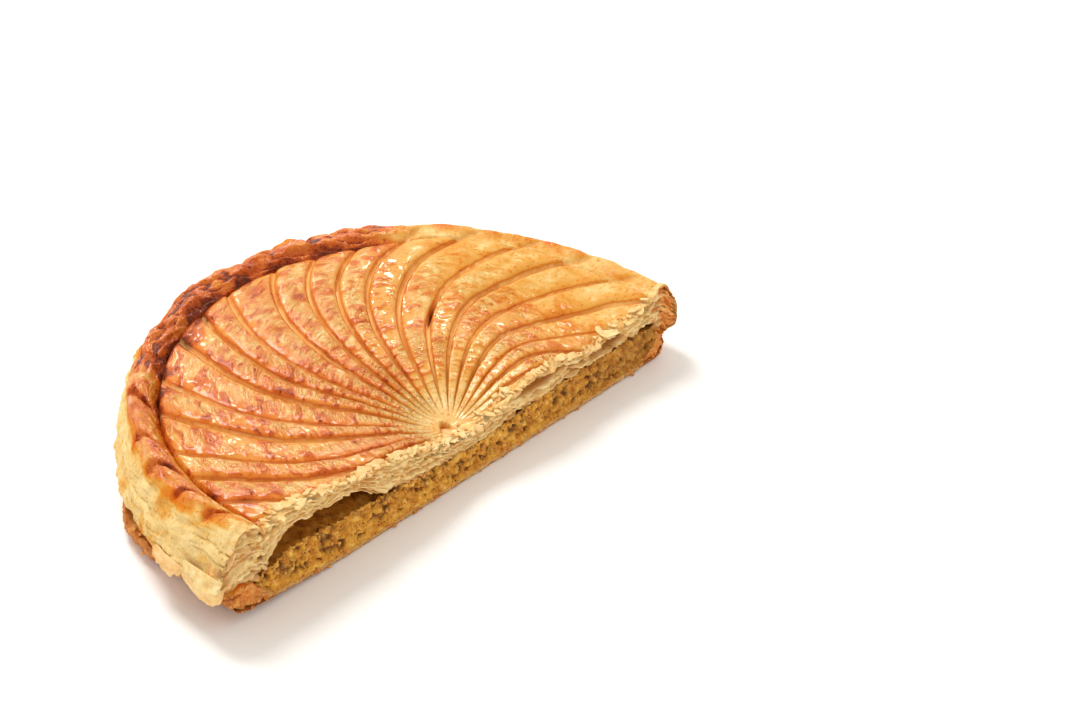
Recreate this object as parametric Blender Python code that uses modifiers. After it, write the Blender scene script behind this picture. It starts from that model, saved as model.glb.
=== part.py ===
"""Half of a galette des rois, cut from a whole one and lying flat.

Three pieces, as the pastry is made: a base disc of puff pastry, a layer of almond
frangipane, and a puff pastry lid that is scored with swept rays and sealed to the base
round its rim. Each piece is turned about +Z and shaped round the whole circle, then one
straight knife cut at y = -CUT_OFFSET takes the other half away.

While the pieces are shaped, the whole galette's centre is at the origin, and angles run
from +X towards +Y. At the end everything moves together, so that the origin lies under
the middle of the half's own box. +Z is up and the cut face looks along -Y. Lengths are
in metres.
"""

import math

import bmesh
import bpy
from mathutils import Matrix, Vector

MM = 0.001

# ---------------------------------------------------------------- driving dimensions
RADIUS = 120 * MM            # the whole galette is 240 mm across, a cake for six
CUT_OFFSET = 10.3 * MM       # the knife passed this far in front of the centre
GAP = 0.35 * MM              # clearance that touching pieces keep

CENTRE_HEIGHT = 18.5 * MM    # the lid is drawn down where the rays meet
CROWN_HEIGHT = 34.5 * MM     # its highest ground, from half the radius outwards
CREASE_RADIUS = 0.87 * RADIUS    # the fold where the rays end
CREASE_HEIGHT = 32.0 * MM
BORDER_RADIUS = 0.935 * RADIUS   # crest of the sealed border
BORDER_HEIGHT = 36.0 * MM
LIP_RADIUS = 1.035 * RADIUS      # the lid's edge overhangs the base
LIP_HEIGHT = 14.0 * MM
SEAM_HEIGHT = 11.5 * MM          # where lid and base are pressed together
BASE_THICKNESS = 4.2 * MM

FILLING_RADIUS = 0.875 * RADIUS  # the frangipane stops here
FILLING_MIDDLE = 12.2 * MM       # height of its top at the centre
FILLING_CROWN = 16.2 * MM        # height of its top where it is fullest
FILLING_BRIM = 10.0 * MM         # height of its top at its edge

RAY_COUNT = 33                   # scored rays round the whole galette
RAY_SWEEP = math.radians(41)     # how far a ray turns clockwise over one RADIUS
RAY_DEPTH = 1.9 * MM
SCALLOP_DEPTH = 0.9 * MM         # the rim swells a little behind every ray
FLAT_SIDE_DEPTH = 4.0 * MM       # one side of the rim is pressed in
FLAT_SIDE_ANGLE = math.radians(130)
FLAT_SIDE_HALF_ANGLE = math.radians(52)
FLARE_DEPTH = 2.4 * MM           # and flares out at the cut's -X end
FLARE_ANGLE = math.radians(188)
FLARE_HALF_ANGLE = math.radians(30)

CAVITY_HEIGHT = 6.0 * MM         # near the -X end the lid has lifted off the filling
CAVITY_RADIUS = 78 * MM
CAVITY_HALF_LENGTH = 34 * MM
CAVITY_ANGLE = math.radians(188)
CAVITY_HALF_ANGLE = math.radians(34)

SAG_DEPTH = 9.0 * MM             # towards the +X end the lid has sunk
SAG_RADIUS = 78 * MM
SAG_HALF_LENGTH = 42 * MM
SAG_ANGLE = math.radians(-8)
SAG_HALF_ANGLE = math.radians(62)

FLAT_RADIUS = 58 * MM            # inside this the underside lies on the table
RIM_LIFT = 0.5 * MM              # at the rim it stands off the table by this
LEFT_LIFT = 4.5 * MM             # and by this much more at the cut's -X end
LIFT_ANGLE = math.radians(192)
LIFT_HALF_ANGLE = math.radians(40)

LID_STEPS = 4 * RAY_COUNT        # facets round the whole circle
INNER_STEPS = 2 * RAY_COUNT

# ---------------------------------------------------------------- small shape helpers


def smooth(low, high, value):
    """0 below low, 1 above high, and an S-curve between."""
    t = min(1.0, max(0.0, (value - low) / (high - low)))
    return t * t * (3 - 2 * t)


def bump(centre, half_width, value):
    """1 at centre, falling smoothly to 0 at half_width on either side."""
    t = abs(value - centre) / half_width
    return 0.0 if t >= 1 else (1 - t * t) ** 2


def turned_from(centre, angle):
    """The angle measured from centre, between -pi and pi."""
    return (angle - centre + math.pi) % (2 * math.pi) - math.pi


def curve_through(points, pieces):
    """Points along a smooth Catmull-Rom curve through a few corner points."""
    padded = [points[0], *points, points[-1]]
    found = []
    for before, start, end, after in zip(padded, padded[1:], padded[2:], padded[3:]):
        for step in range(pieces):
            t = step / pieces
            found.append(tuple(
                0.5 * (2 * b + (c - a) * t + (2 * a - 5 * b + 4 * c - d) * t * t
                       + (3 * b - a - 3 * c + d) * t ** 3)
                for a, b, c, d in zip(before, start, end, after)))
    return [*found, points[-1]]


# ---------------------------------------------------------------- the layers' heights


def filling_radii():
    """Rings that the frangipane and the faces against it share, from the centre out."""
    steps = 12
    return [FILLING_RADIUS * step / steps for step in range(steps + 1)]


def filling_top(radius):
    """Height of the frangipane's upper side: dished in the middle, thin at its edge."""
    rise = (FILLING_CROWN - FILLING_MIDDLE) * smooth(0, 0.6 * RADIUS, radius)
    fall = (FILLING_CROWN - FILLING_BRIM) * smooth(0.7 * RADIUS, FILLING_RADIUS, radius)
    return FILLING_MIDDLE + rise - fall


def base_top(radius):
    """Height of the base's upper side, which turns up to the seam at the rim."""
    reach = smooth(0.78 * RADIUS, FILLING_RADIUS + 4 * MM, radius)
    return BASE_THICKNESS + (SEAM_HEIGHT - GAP - BASE_THICKNESS) * reach


def lid_bottom(radius):
    """Height of the lid's underside, before the cavity lifts it."""
    if radius > FILLING_RADIUS:
        return SEAM_HEIGHT
    return filling_top(radius) + GAP


# ---------------------------------------------------------------- profiles, as (r, z)


def lid_profile():
    """Over the crown, the crease and the border to the lip, and back underneath."""
    outside = curve_through([
        (0.0, CENTRE_HEIGHT),
        (0.09 * RADIUS, CENTRE_HEIGHT + 2.8 * MM),
        (0.22 * RADIUS, CENTRE_HEIGHT + 8.4 * MM),
        (0.40 * RADIUS, CROWN_HEIGHT - 2.6 * MM),
        (0.58 * RADIUS, CROWN_HEIGHT - 0.5 * MM),
        (0.74 * RADIUS, CROWN_HEIGHT),
        (CREASE_RADIUS, CREASE_HEIGHT),
        (BORDER_RADIUS, BORDER_HEIGHT),
        (0.98 * RADIUS, BORDER_HEIGHT - 5 * MM),
        (1.01 * RADIUS, LIP_HEIGHT + 8 * MM),
        (LIP_RADIUS, LIP_HEIGHT),
    ], 2)
    seam = [(LIP_RADIUS - 1.5 * MM, SEAM_HEIGHT), (FILLING_RADIUS + 5 * MM, SEAM_HEIGHT)]
    roof = [(radius, filling_top(radius) + GAP) for radius in reversed(filling_radii())]
    return outside + seam + roof


def filling_profile():
    """Over the frangipane's top from the centre, and back along its underside."""
    radii = filling_radii()
    top = [(radius, filling_top(radius)) for radius in radii]
    bottom = [(radius, base_top(radius) + GAP) for radius in reversed(radii[:-1])]
    return top + bottom


def base_profile():
    """Over the base's top from the centre, round its rim and back underneath."""
    radii = [*filling_radii(), FILLING_RADIUS + 4 * MM]
    top = [(radius, base_top(radius)) for radius in radii]
    rim = curve_through([
        (0.99 * RADIUS, SEAM_HEIGHT - GAP),
        (1.01 * RADIUS, 8.5 * MM),
        (1.0 * RADIUS, 3.0 * MM),
        (0.98 * RADIUS, 0.6 * MM),
        (0.95 * RADIUS, 0.0),
    ], 2)
    flat = [(0.80 * RADIUS, 0.0), (0.65 * RADIUS, 0.0), (FLAT_RADIUS, 0.0), (0.0, 0.0)]
    return top + rim + flat


# ---------------------------------------------------------------- shaping the circle


def ray_twist(radius):
    """How far a ray has turned from its start at the centre, in radians."""
    return -RAY_SWEEP * (min(radius, CREASE_RADIUS) / RADIUS) ** 2


def rim_inset(radius, angle, start):
    """How far the lid's rim is pulled in: its flat side, its flared end, its notches."""
    pressed = FLAT_SIDE_DEPTH * bump(
        0, FLAT_SIDE_HALF_ANGLE, turned_from(FLAT_SIDE_ANGLE, angle))
    flared = FLARE_DEPTH * bump(0, FLARE_HALF_ANGLE, turned_from(FLARE_ANGLE, angle))
    notched = SCALLOP_DEPTH * math.cos(start * RAY_COUNT / 2) ** 2
    return (pressed - flared + notched) * smooth(BORDER_RADIUS, LIP_RADIUS, radius)


def shape_lid_top(radius, start):
    """Swept rays, their ridges, the uneven rim and the sag, for one outer point."""
    angle = start + ray_twist(radius)
    phase = start * RAY_COUNT / 2
    inside = smooth(0.05 * RADIUS, 0.2 * RADIUS, radius)
    scored = inside - smooth(0.8 * RADIUS, CREASE_RADIUS, radius)
    groove = RAY_DEPTH * scored * (1 - abs(math.sin(phase)) ** 0.6)
    sag = SAG_DEPTH * bump(SAG_RADIUS, SAG_HALF_LENGTH, radius) * bump(
        0, SAG_HALF_ANGLE, turned_from(SAG_ANGLE, angle))
    return radius - rim_inset(radius, angle, start), angle, -groove - sag


def shape_lid_bottom(radius, start):
    """The hollow that baking left over the filling, for one point of the underside."""
    angle = start + ray_twist(CREASE_RADIUS)
    hollow = CAVITY_HEIGHT * bump(CAVITY_RADIUS, CAVITY_HALF_LENGTH, radius) * bump(
        0, CAVITY_HALF_ANGLE, turned_from(CAVITY_ANGLE, angle))
    return radius - rim_inset(radius, angle, start), angle, hollow


def shape_lid(data):
    """Applies the top's shape to the lid's outer points and the roof's to the rest."""
    for vertex in data.vertices:
        radius = math.hypot(vertex.co.x, vertex.co.y)
        start = math.atan2(vertex.co.y, vertex.co.x)
        is_outer = vertex.co.z > lid_bottom(radius) + MM
        shaper = shape_lid_top if is_outer else shape_lid_bottom
        reach, angle, rise = shaper(radius, start)
        vertex.co = (reach * math.cos(angle), reach * math.sin(angle), vertex.co.z + rise)


def lift_rim(data):
    """Bends the whole cake: its rim stands off the table, most of all at the -X end."""
    for vertex in data.vertices:
        radius = math.hypot(vertex.co.x, vertex.co.y)
        angle = math.atan2(vertex.co.y, vertex.co.x)
        reach = max(0.0, (radius - FLAT_RADIUS) / (RADIUS - FLAT_RADIUS))
        to_left = bump(0, LIFT_HALF_ANGLE, turned_from(LIFT_ANGLE, angle))
        vertex.co.z += reach ** 1.5 * (RIM_LIFT + LEFT_LIFT * to_left)


# ---------------------------------------------------------------- building


def pastry_material(name, colour, roughness):
    material = bpy.data.materials.new(name)
    material.use_nodes = True
    shader = material.node_tree.nodes["Principled BSDF"]
    shader.inputs["Base Color"].default_value = (*colour, 1.0)
    shader.inputs["Roughness"].default_value = roughness
    shader.inputs["Metallic"].default_value = 0.0
    return material


def turned_mesh(name, profile, steps):
    """The mesh of the profile turned once about +Z by a Screw modifier."""
    outline = bpy.data.meshes.new(name)
    edges = [(index, index + 1) for index in range(len(profile) - 1)]
    outline.from_pydata([(radius, 0.0, height) for radius, height in profile], edges, [])
    spinner = bpy.data.objects.new(name, outline)
    bpy.context.scene.collection.objects.link(spinner)
    screw = spinner.modifiers.new("turn", "SCREW")
    screw.steps = steps
    screw.render_steps = steps
    screw.use_merge_vertices = True
    screw.merge_threshold = 0.0001
    bpy.context.view_layer.update()
    data = bpy.data.meshes.new_from_object(
        spinner.evaluated_get(bpy.context.evaluated_depsgraph_get()))
    bpy.data.objects.remove(spinner)
    bpy.data.meshes.remove(outline)
    return data


def make_piece(name, data, material, knife, collection):
    """A smooth-shaded object with the knife's cut as a Boolean."""
    lift_rim(data)
    data.materials.append(material)
    data.shade_smooth()
    piece = bpy.data.objects.new(name, data)
    collection.objects.link(piece)
    cut = piece.modifiers.new("knife_cut", "BOOLEAN")
    cut.operation = "DIFFERENCE"
    cut.solver = "EXACT"
    cut.object = knife
    return piece


def make_knife(collection):
    """A block that holds everything in front of the cut."""
    mesh = bmesh.new()
    bmesh.ops.create_cube(mesh, size=1.0)
    size = Vector((3 * RADIUS, 1.5 * RADIUS, 1.5 * RADIUS))
    middle = Vector((0, -CUT_OFFSET - size.y / 2, 0))
    mesh.transform(Matrix.Translation(middle) @ Matrix.Diagonal(size).to_4x4())
    data = bpy.data.meshes.new("knife")
    mesh.to_mesh(data)
    mesh.free()
    knife = bpy.data.objects.new("knife", data)
    knife.hide_render = True
    knife.display_type = "WIRE"
    collection.objects.link(knife)
    return knife


def centre_on_origin(pieces, knife):
    """Moves everything so that the origin is under the middle of the cut pieces' box."""
    bpy.context.view_layer.update()
    depsgraph = bpy.context.evaluated_depsgraph_get()
    corners = [Vector(corner) for piece in pieces
               for corner in piece.evaluated_get(depsgraph).bound_box]
    low = Vector([min(corner[axis] for corner in corners) for axis in range(3)])
    high = Vector([max(corner[axis] for corner in corners) for axis in range(3)])
    middle = (low + high) / 2
    for thing in [*pieces, knife]:
        thing.location = (-middle.x, -middle.y, -low.z)


def new_collection(name):
    collection = bpy.data.collections.new(name)
    bpy.context.scene.collection.children.link(collection)
    return collection


def main():
    for old in list(bpy.data.objects):
        bpy.data.objects.remove(old)
    galette = new_collection("galette_half")
    knife = make_knife(new_collection("cutters"))

    lid = turned_mesh("puff_lid", lid_profile(), LID_STEPS)
    shape_lid(lid)
    golden = pastry_material("golden_crust", (0.68, 0.33, 0.08), 0.4)
    filling = turned_mesh("frangipane", filling_profile(), INNER_STEPS)
    almond = pastry_material("almond_filling", (0.50, 0.33, 0.11), 0.85)
    base = turned_mesh("puff_base", base_profile(), INNER_STEPS)
    pale = pastry_material("pale_crust", (0.74, 0.50, 0.24), 0.6)

    pieces = [
        make_piece("puff_lid", lid, golden, knife, galette),
        make_piece("frangipane", filling, almond, knife, galette),
        make_piece("puff_base", base, pale, knife, galette),
    ]
    centre_on_origin(pieces, knife)


main()
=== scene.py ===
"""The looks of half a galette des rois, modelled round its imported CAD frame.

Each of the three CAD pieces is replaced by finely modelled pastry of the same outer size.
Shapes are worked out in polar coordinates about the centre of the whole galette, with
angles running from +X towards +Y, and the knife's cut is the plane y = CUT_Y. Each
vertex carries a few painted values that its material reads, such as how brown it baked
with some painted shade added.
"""

import math

import bmesh
import bpy
import numpy as np
from mathutils import Matrix, Vector


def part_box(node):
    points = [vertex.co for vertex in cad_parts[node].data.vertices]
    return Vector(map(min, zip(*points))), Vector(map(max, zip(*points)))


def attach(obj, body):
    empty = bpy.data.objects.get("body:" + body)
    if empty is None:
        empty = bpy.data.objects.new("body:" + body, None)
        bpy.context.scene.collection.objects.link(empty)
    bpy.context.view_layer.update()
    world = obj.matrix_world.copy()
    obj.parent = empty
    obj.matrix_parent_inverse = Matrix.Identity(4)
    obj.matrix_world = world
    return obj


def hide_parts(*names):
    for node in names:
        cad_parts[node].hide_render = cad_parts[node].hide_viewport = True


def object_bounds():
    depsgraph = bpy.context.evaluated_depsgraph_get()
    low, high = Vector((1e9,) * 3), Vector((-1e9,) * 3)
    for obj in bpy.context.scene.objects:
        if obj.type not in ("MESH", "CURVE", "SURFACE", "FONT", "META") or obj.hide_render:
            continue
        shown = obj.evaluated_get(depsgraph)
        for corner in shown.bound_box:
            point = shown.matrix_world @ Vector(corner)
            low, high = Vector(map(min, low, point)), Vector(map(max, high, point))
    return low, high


MM = 0.001
TAU = 2 * math.pi

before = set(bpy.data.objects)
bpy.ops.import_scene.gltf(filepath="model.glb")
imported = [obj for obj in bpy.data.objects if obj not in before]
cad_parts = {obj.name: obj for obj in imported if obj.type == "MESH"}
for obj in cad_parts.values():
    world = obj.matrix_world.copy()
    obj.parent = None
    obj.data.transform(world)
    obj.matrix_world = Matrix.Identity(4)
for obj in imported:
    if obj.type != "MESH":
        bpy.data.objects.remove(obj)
CAD_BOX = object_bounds()

# ---------------------------------------------------------------- sizes
# The outer sizes are the CAD's. Inside the cut, the base's thickness, the filling and the
# cavity are as the photo shows them.

BASE_LOW, BASE_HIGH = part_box("puff_base")
RADIUS = (BASE_HIGH.x - BASE_LOW.x) / 2.02
CUT_Y = CAD_BOX[0].y
CUT_OFFSET = 10.3 * MM
CENTRE_X = (BASE_LOW.x + BASE_HIGH.x) / 2
CENTRE_Y = CUT_Y + CUT_OFFSET

CREASE_RADIUS = 0.87 * RADIUS
BORDER_RADIUS = 0.935 * RADIUS
LIP_RADIUS = 1.035 * RADIUS
LIP_HEIGHT = 14.0 * MM
SEAM_HEIGHT = 11.5 * MM
CROWN_HEIGHT = 34.5 * MM
CENTRE_HEIGHT = 18.5 * MM
BORDER_HEIGHT = 36.0 * MM
CREASE_HEIGHT = 32.0 * MM
BASE_THICKNESS = 2.8 * MM
FILLING_RADIUS = 0.875 * RADIUS
GAP = 0.35 * MM
FLAT_RADIUS = 58 * MM
CAVITY_HEIGHT = 8.6 * MM

RAY_COUNT = 33
RAY_SWEEP = math.radians(41)
FIRST_RAY = math.radians(14.8)
WAVER = 0.012
VENT_RADIUS = 0.47 * RADIUS
VENT_DIRECTION = math.radians(47)
CHUNK_DIRECTION, CHUNK_HALF_WIDTH = 157, 14
BORDER_TRAVEL = 52 * MM
FLAKE_COUNT, RIBBON_COUNT, CRUMB_COUNT = 120, 110, 480

# ---------------------------------------------------------------- number helpers


def smooth(low, high, value):
    """0 below low, 1 above high, and an S-curve between."""
    t = np.clip((value - low) / (high - low), 0.0, 1.0)
    return t * t * (3 - 2 * t)


def fade(low, high, value):
    """1 below low, 0 above high, and an S-curve between."""
    return 1 - smooth(low, high, value)


def beyond(low, high, radius):
    """0 nearer than low and 1 past high, both in radii of the cake."""
    return smooth(low * RADIUS, high * RADIUS, radius)


def within(low, high, radius):
    """1 nearer than low and 0 past high, both in radii of the cake."""
    return fade(low * RADIUS, high * RADIUS, radius)


def bump(centre, half_width, value):
    """1 at centre, falling smoothly to 0 at half_width on either side."""
    t = np.clip(np.abs(value - centre) / half_width, 0.0, 1.0)
    return (1 - t * t) ** 2


def arc_bump(centre_degrees, half_degrees, angle):
    """A bump round a compass direction, in degrees."""
    turned = (angle - math.radians(centre_degrees) + math.pi) % TAU - math.pi
    return bump(0.0, math.radians(half_degrees), turned)


def stacked(*parts):
    """Numbers or arrays, side by side as the columns of one array of points."""
    return np.stack(np.broadcast_arrays(*parts), axis=-1).astype(float)


def chance(cells, seed):
    """A repeatable random number from 0 to 1 for each whole-numbered cell."""
    mixed = (cells[..., 0] * 374761393 + cells[..., 1] * 668265263
             + cells[..., 2] * 2147483647 + seed * 144269504) & 0xFFFFFFFF
    mixed = ((mixed ^ (mixed >> 13)) * 1274126177) & 0xFFFFFFFF
    return ((mixed ^ (mixed >> 16)) & 0xFFFFFF) / 0xFFFFFF


SKEW = np.array(
    Matrix.Rotation(0.6, 3, "X") @ Matrix.Rotation(0.45, 3, "Y") @ Matrix.Rotation(0.7, 3, "Z"))


def noise(points, size, seed=0):
    """Smooth random values from -1 to 1, with lumps about size across."""
    scaled = points @ SKEW / size + 101.3
    cells = np.floor(scaled).astype(np.int64)
    part = scaled - cells
    blend = part ** 3 * (part * (part * 6 - 15) + 10)
    total = 0.0
    for corner in np.ndindex(2, 2, 2):
        weight = np.prod(np.where(corner, blend, 1 - blend), axis=-1)
        total = total + weight * chance(cells + np.array(corner), seed)
    return total * 2 - 1


def rough(points, size, octaves, seed=0):
    """Noise with finer noise on it, about -1 to 1."""
    total = 0.0
    for octave in range(octaves):
        total = total + noise(points, size / 2 ** octave, seed + octave) / 2 ** octave
    return total / 1.4


def ridged(points, size, octaves, seed=0):
    """Sharp branching ridges, 1 on a ridge and 0 far from it."""
    total = 0.0
    for octave in range(octaves):
        fine = 1 - np.abs(noise(points, size / 2 ** octave, seed + octave)) * 2
        total = total + fine / 2 ** octave
    return np.clip(total / 1.6, -1, 1)


def grains(points, size, seed=0):
    """Distance to the nearest grain's centre, in grain sizes."""
    scaled = points / size + 57.1
    cells = np.floor(scaled).astype(np.int64)
    nearest = np.full(points.shape[:-1], 9.0)
    for step in np.ndindex(3, 3, 3):
        cell = cells + np.array(step) - 1
        centre = cell + stacked(*(chance(cell, seed + axis) for axis in range(3)))
        nearest = np.minimum(nearest, np.linalg.norm(scaled - centre, axis=-1))
    return nearest


def ripple(x, size, seed):
    """Noise that changes only along the cut."""
    return noise(stacked(x, 0.0, 0.0), size, seed)


def curve_through(points, pieces):
    """Points along a smooth Catmull-Rom curve through a few corner points."""
    corners = np.array([points[0], *points, points[-1]])
    found = []
    for before, start, end, after in zip(corners, corners[1:], corners[2:], corners[3:]):
        for step in range(pieces):
            t = step / pieces
            found.append(0.5 * (
                2 * start + (end - before) * t
                + (2 * before - 5 * start + 4 * end - after) * t * t
                + (3 * start - before - 3 * end + after) * t ** 3))
    return np.array([*found, corners[-1]])


# ---------------------------------------------------------------- the cake's own form


def polar(x, y):
    """Radius and angle about the whole galette's centre, the angle from -90 to 270 degrees."""
    angle = np.arctan2(y - CENTRE_Y, x - CENTRE_X)
    angle = np.where(angle < -math.pi / 2, angle + TAU, angle)
    return np.hypot(x - CENTRE_X, y - CENTRE_Y), angle


def placed(radius, angle, height):
    """Points at a radius, an angle and a height: polar the other way round."""
    return stacked(CENTRE_X + radius * np.cos(angle), CENTRE_Y + radius * np.sin(angle), height)


def between(start, end, blend, angle):
    """1 between two compass directions in degrees, fading over blend degrees outside."""
    angle = np.degrees(angle)
    return smooth(start - blend, start, angle) * fade(end, end + blend, angle)


def lean(radius, angle):
    """How far the rim stands off the table, most of all at the cut's -X end."""
    reach = np.clip((radius - FLAT_RADIUS) / (RADIUS - FLAT_RADIUS), 0.0, None)
    return reach ** 1.5 * (0.5 + 4.5 * arc_bump(192, 40, angle)) * MM


def near_tip(angle):
    """1 towards the cut's +X end, where the filling reaches nearly to the side."""
    return fade(math.radians(8), math.radians(28), angle)


def filling_edge(angle):
    """How far out the frangipane reaches, furthest at the cut's two ends."""
    further = 0.05 * near_tip(angle) + 0.02 * between(165, 270, 12, angle)
    return FILLING_RADIUS + RADIUS * further


def filling_top(radius, angle):
    """Height of the frangipane's upper side, before the lean."""
    rise = 3.6 * MM * smooth(0.0, 0.6 * RADIUS, radius)
    fall = smooth(0.74 * RADIUS, filling_edge(angle), radius)
    return 14.0 * MM + rise - fall * (6.0 - 5.6 * near_tip(angle)) * MM


def base_top(radius, angle):
    """Height of the base's upper side, before the lean."""
    reach = smooth(filling_edge(angle) - 0.08 * RADIUS, filling_edge(angle) + 3 * MM, radius)
    return BASE_THICKNESS + (SEAM_HEIGHT - GAP - BASE_THICKNESS) * reach


CROWN = curve_through([
    (0.0, CENTRE_HEIGHT),
    (0.09 * RADIUS, CENTRE_HEIGHT + 2.8 * MM),
    (0.22 * RADIUS, CENTRE_HEIGHT + 8.4 * MM),
    (0.40 * RADIUS, CROWN_HEIGHT - 2.6 * MM),
    (0.58 * RADIUS, CROWN_HEIGHT - 0.5 * MM),
    (0.74 * RADIUS, CROWN_HEIGHT),
    (CREASE_RADIUS, CREASE_HEIGHT),
], 12)


def ray_starts():
    """Where each groove starts round the centre: uneven, and spread out on one side."""
    random = np.random.default_rng(156)
    even = np.arange(RAY_COUNT) * TAU / RAY_COUNT
    uneven = even + random.uniform(-0.03, 0.03, RAY_COUNT)
    uneven = uneven + math.radians(5) * arc_bump(165, 42, even)
    return np.append(uneven - uneven[0], TAU)


RAY_STARTS = ray_starts()


def ray_turn(radius):
    """How far the rays have turned by the time they reach a radius."""
    return RAY_SWEEP * (np.minimum(radius, BORDER_RADIUS) / RADIUS) ** 2


def ray_waver(radius, unwound):
    """Small wanderings of the baker's knife."""
    spot = stacked(radius * np.cos(unwound), radius * np.sin(unwound), 0.0)
    return WAVER * noise(spot, 24 * MM, 3)


def ray_place(radius, angle):
    """Which ray a point is on: a number that grows by 1 from one groove to the next."""
    unwound = angle + ray_turn(radius)
    unwound = unwound + ray_waver(radius, unwound)
    return np.interp((unwound - FIRST_RAY) % TAU, RAY_STARTS, np.arange(RAY_COUNT + 1))


def place_angle(radius, place):
    """The compass angle at which a ray crosses a radius: ray_place the other way round."""
    started = np.interp(place, np.arange(RAY_COUNT + 1), RAY_STARTS) + FIRST_RAY
    unwound = started
    for _ in range(3):
        unwound = started - ray_waver(radius, unwound)
    return unwound - ray_turn(radius)


def ray_spacing(radius):
    """Distance from one groove to the next, square to them."""
    slant = 2 * RAY_SWEEP * (radius / RADIUS) ** 2
    return TAU * radius / RAY_COUNT / np.sqrt(1 + slant ** 2)


def chip_band(x):
    """How far in from the cut the glazed skin has flaked away."""
    wide = 3.4 + 5.5 * bump(CENTRE_X, 26 * MM, x) + 2.4 * ripple(x, 15 * MM, 41)
    wide = wide + 2.6 * bump(CENTRE_X - 92 * MM, 22 * MM, x)
    return np.maximum(wide + 1.2 * ripple(x, 4 * MM, 42), 0.9) * MM


def chipping(x, y):
    """How many leaves have broken off the top near the cut, from 0 to 3."""
    flat = stacked(x, y, 0.0)
    inward = y - CUT_Y
    lost = 0.0
    for level, share in enumerate((1.0, 0.6, 0.28)):
        jagged = 1.3 * noise(flat, 3.4 * MM, 43 + level) + 0.7 * noise(flat, 1.3 * MM, 47 + level)
        lost = lost + smooth(-0.2 * MM, 0.2 * MM, chip_band(x) * share + jagged * MM - inward)
    return lost


def cut_recess(x):
    """How far the broken edge of a layer falls short of the cut."""
    large = np.clip(ripple(x, 9 * MM, 7), 0, 1) * 1.2
    return (0.35 + large + 0.4 * (1 + ripple(x, 1.8 * MM, 8))) * MM


def pull_back(points, recess, depth):
    """Draws points near the cut back from it, so that the edge looks broken."""
    points[:, 1] += recess * fade(0.0, depth, points[:, 1] - CUT_Y)


# ---------------------------------------------------------------- building meshes


def even_steps(count):
    """Numbers from 0 to 1, side by side in one row."""
    return np.linspace(0, 1, count)[None, :]


def grid_faces(rows, columns, closed=False):
    """Quads between neighbouring points of a grid, whose last column may join its first."""
    row, column = np.meshgrid(
        np.arange(rows - 1), np.arange(columns if closed else columns - 1), indexing="ij")
    row, column = row.ravel(), column.ravel()
    next_row, next_column = row + 1, (column + 1) % columns
    return np.stack([
        row * columns + column,
        row * columns + next_column,
        next_row * columns + next_column,
        next_row * columns + column], axis=1)


def make_mesh(name, points, faces, painted=None):
    """A mesh from arrays, with its painted values stored on its vertices."""
    data = bpy.data.meshes.new(name)
    data.vertices.add(len(points))
    data.vertices.foreach_set("co", np.asarray(points, np.float32).ravel())
    sizes = np.array([len(face) for face in faces])
    data.loops.add(int(sizes.sum()))
    data.loops.foreach_set("vertex_index", np.concatenate(faces).astype(np.int32))
    data.polygons.add(len(faces))
    starts = np.concatenate([[0], np.cumsum(sizes)[:-1]])
    data.polygons.foreach_set("loop_start", starts.astype(np.int32))
    data.update(calc_edges=True)
    data.validate()
    paint(data, painted or {})
    return data


def paint(data, painted):
    """Stores numbers or vectors on a mesh's vertices, under the names that materials read."""
    for key, values in painted.items():
        values = np.asarray(values, np.float32)
        kind, slot = ("FLOAT_VECTOR", "vector") if values.ndim == 2 else ("FLOAT", "value")
        layer = data.attributes.new(key, kind, "POINT")
        layer.data.foreach_set(slot, values.ravel())


def painted_values(data, key):
    """The numbers stored on a mesh's vertices under a name."""
    values = np.zeros(len(data.vertices), np.float32)
    data.attributes[key].data.foreach_get("value", values)
    return values.astype(float)


def vertex_points(data):
    """Where a mesh's vertices are, one row each."""
    points = np.zeros(len(data.vertices) * 3, np.float32)
    data.vertices.foreach_get("co", points)
    return points.reshape(-1, 3).astype(float)


def set_points(data, points):
    """Moves a mesh's vertices."""
    data.vertices.foreach_set("co", np.asarray(points, np.float32).ravel())
    data.update()


def knife_cut(data):
    """Keeps what is behind the knife's cut, and says which vertices lie on it."""
    mesh = bmesh.new()
    mesh.from_mesh(data)
    bmesh.ops.bisect_plane(
        mesh, geom=mesh.verts[:] + mesh.edges[:] + mesh.faces[:], dist=1e-6,
        plane_co=(0, CUT_Y, 0), plane_no=(0, -1, 0), clear_outer=True)
    mesh.to_mesh(data)
    mesh.free()
    return np.abs(vertex_points(data)[:, 1] - CUT_Y) < 2e-6


def spin(name, profile, columns, capped=False):
    """Turns radii and heights about the centre, and cuts off what is in front of the knife.

    Returns the mesh and which of its vertices lie on the cut.
    """
    rows = len(profile)
    turn = np.arange(columns) * TAU / columns
    radius, turn = np.meshgrid(profile[:, 0], turn, indexing="ij")
    height = np.repeat(profile[:, 1:2], columns, axis=1)
    down = np.repeat(np.linspace(0, 1, rows)[:, None], columns, axis=1)
    faces = list(grid_faces(rows, columns, closed=True)[:, ::-1])
    if capped:
        faces.append(np.arange(columns)[::-1])
        faces.append(np.arange(columns) + (rows - 1) * columns)
    points = placed(radius, turn, height).reshape(-1, 3)
    data = make_mesh(name, points, faces, {"down": down.ravel()})
    return data, knife_cut(data)


def loft(name, bands, **painted):
    """A closed skin over rings of points, with both ends capped.

    Each ring is made of bands, and each painted value is given for one band after another.
    """
    rings = np.concatenate(bands, axis=1)
    count, size = rings.shape[:2]
    faces = list(grid_faces(count, size, closed=True)[:, ::-1])
    faces.append(np.arange(size))
    faces.append(np.arange(size)[::-1] + (count - 1) * size)
    values = {}
    for key, parts in painted.items():
        filled = [part + 0 * band[..., 0] for part, band in zip(parts, bands)]
        values[key] = np.concatenate(filled, axis=1).ravel()
    return make_mesh(name, rings.reshape(-1, 3), faces, values)


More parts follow.
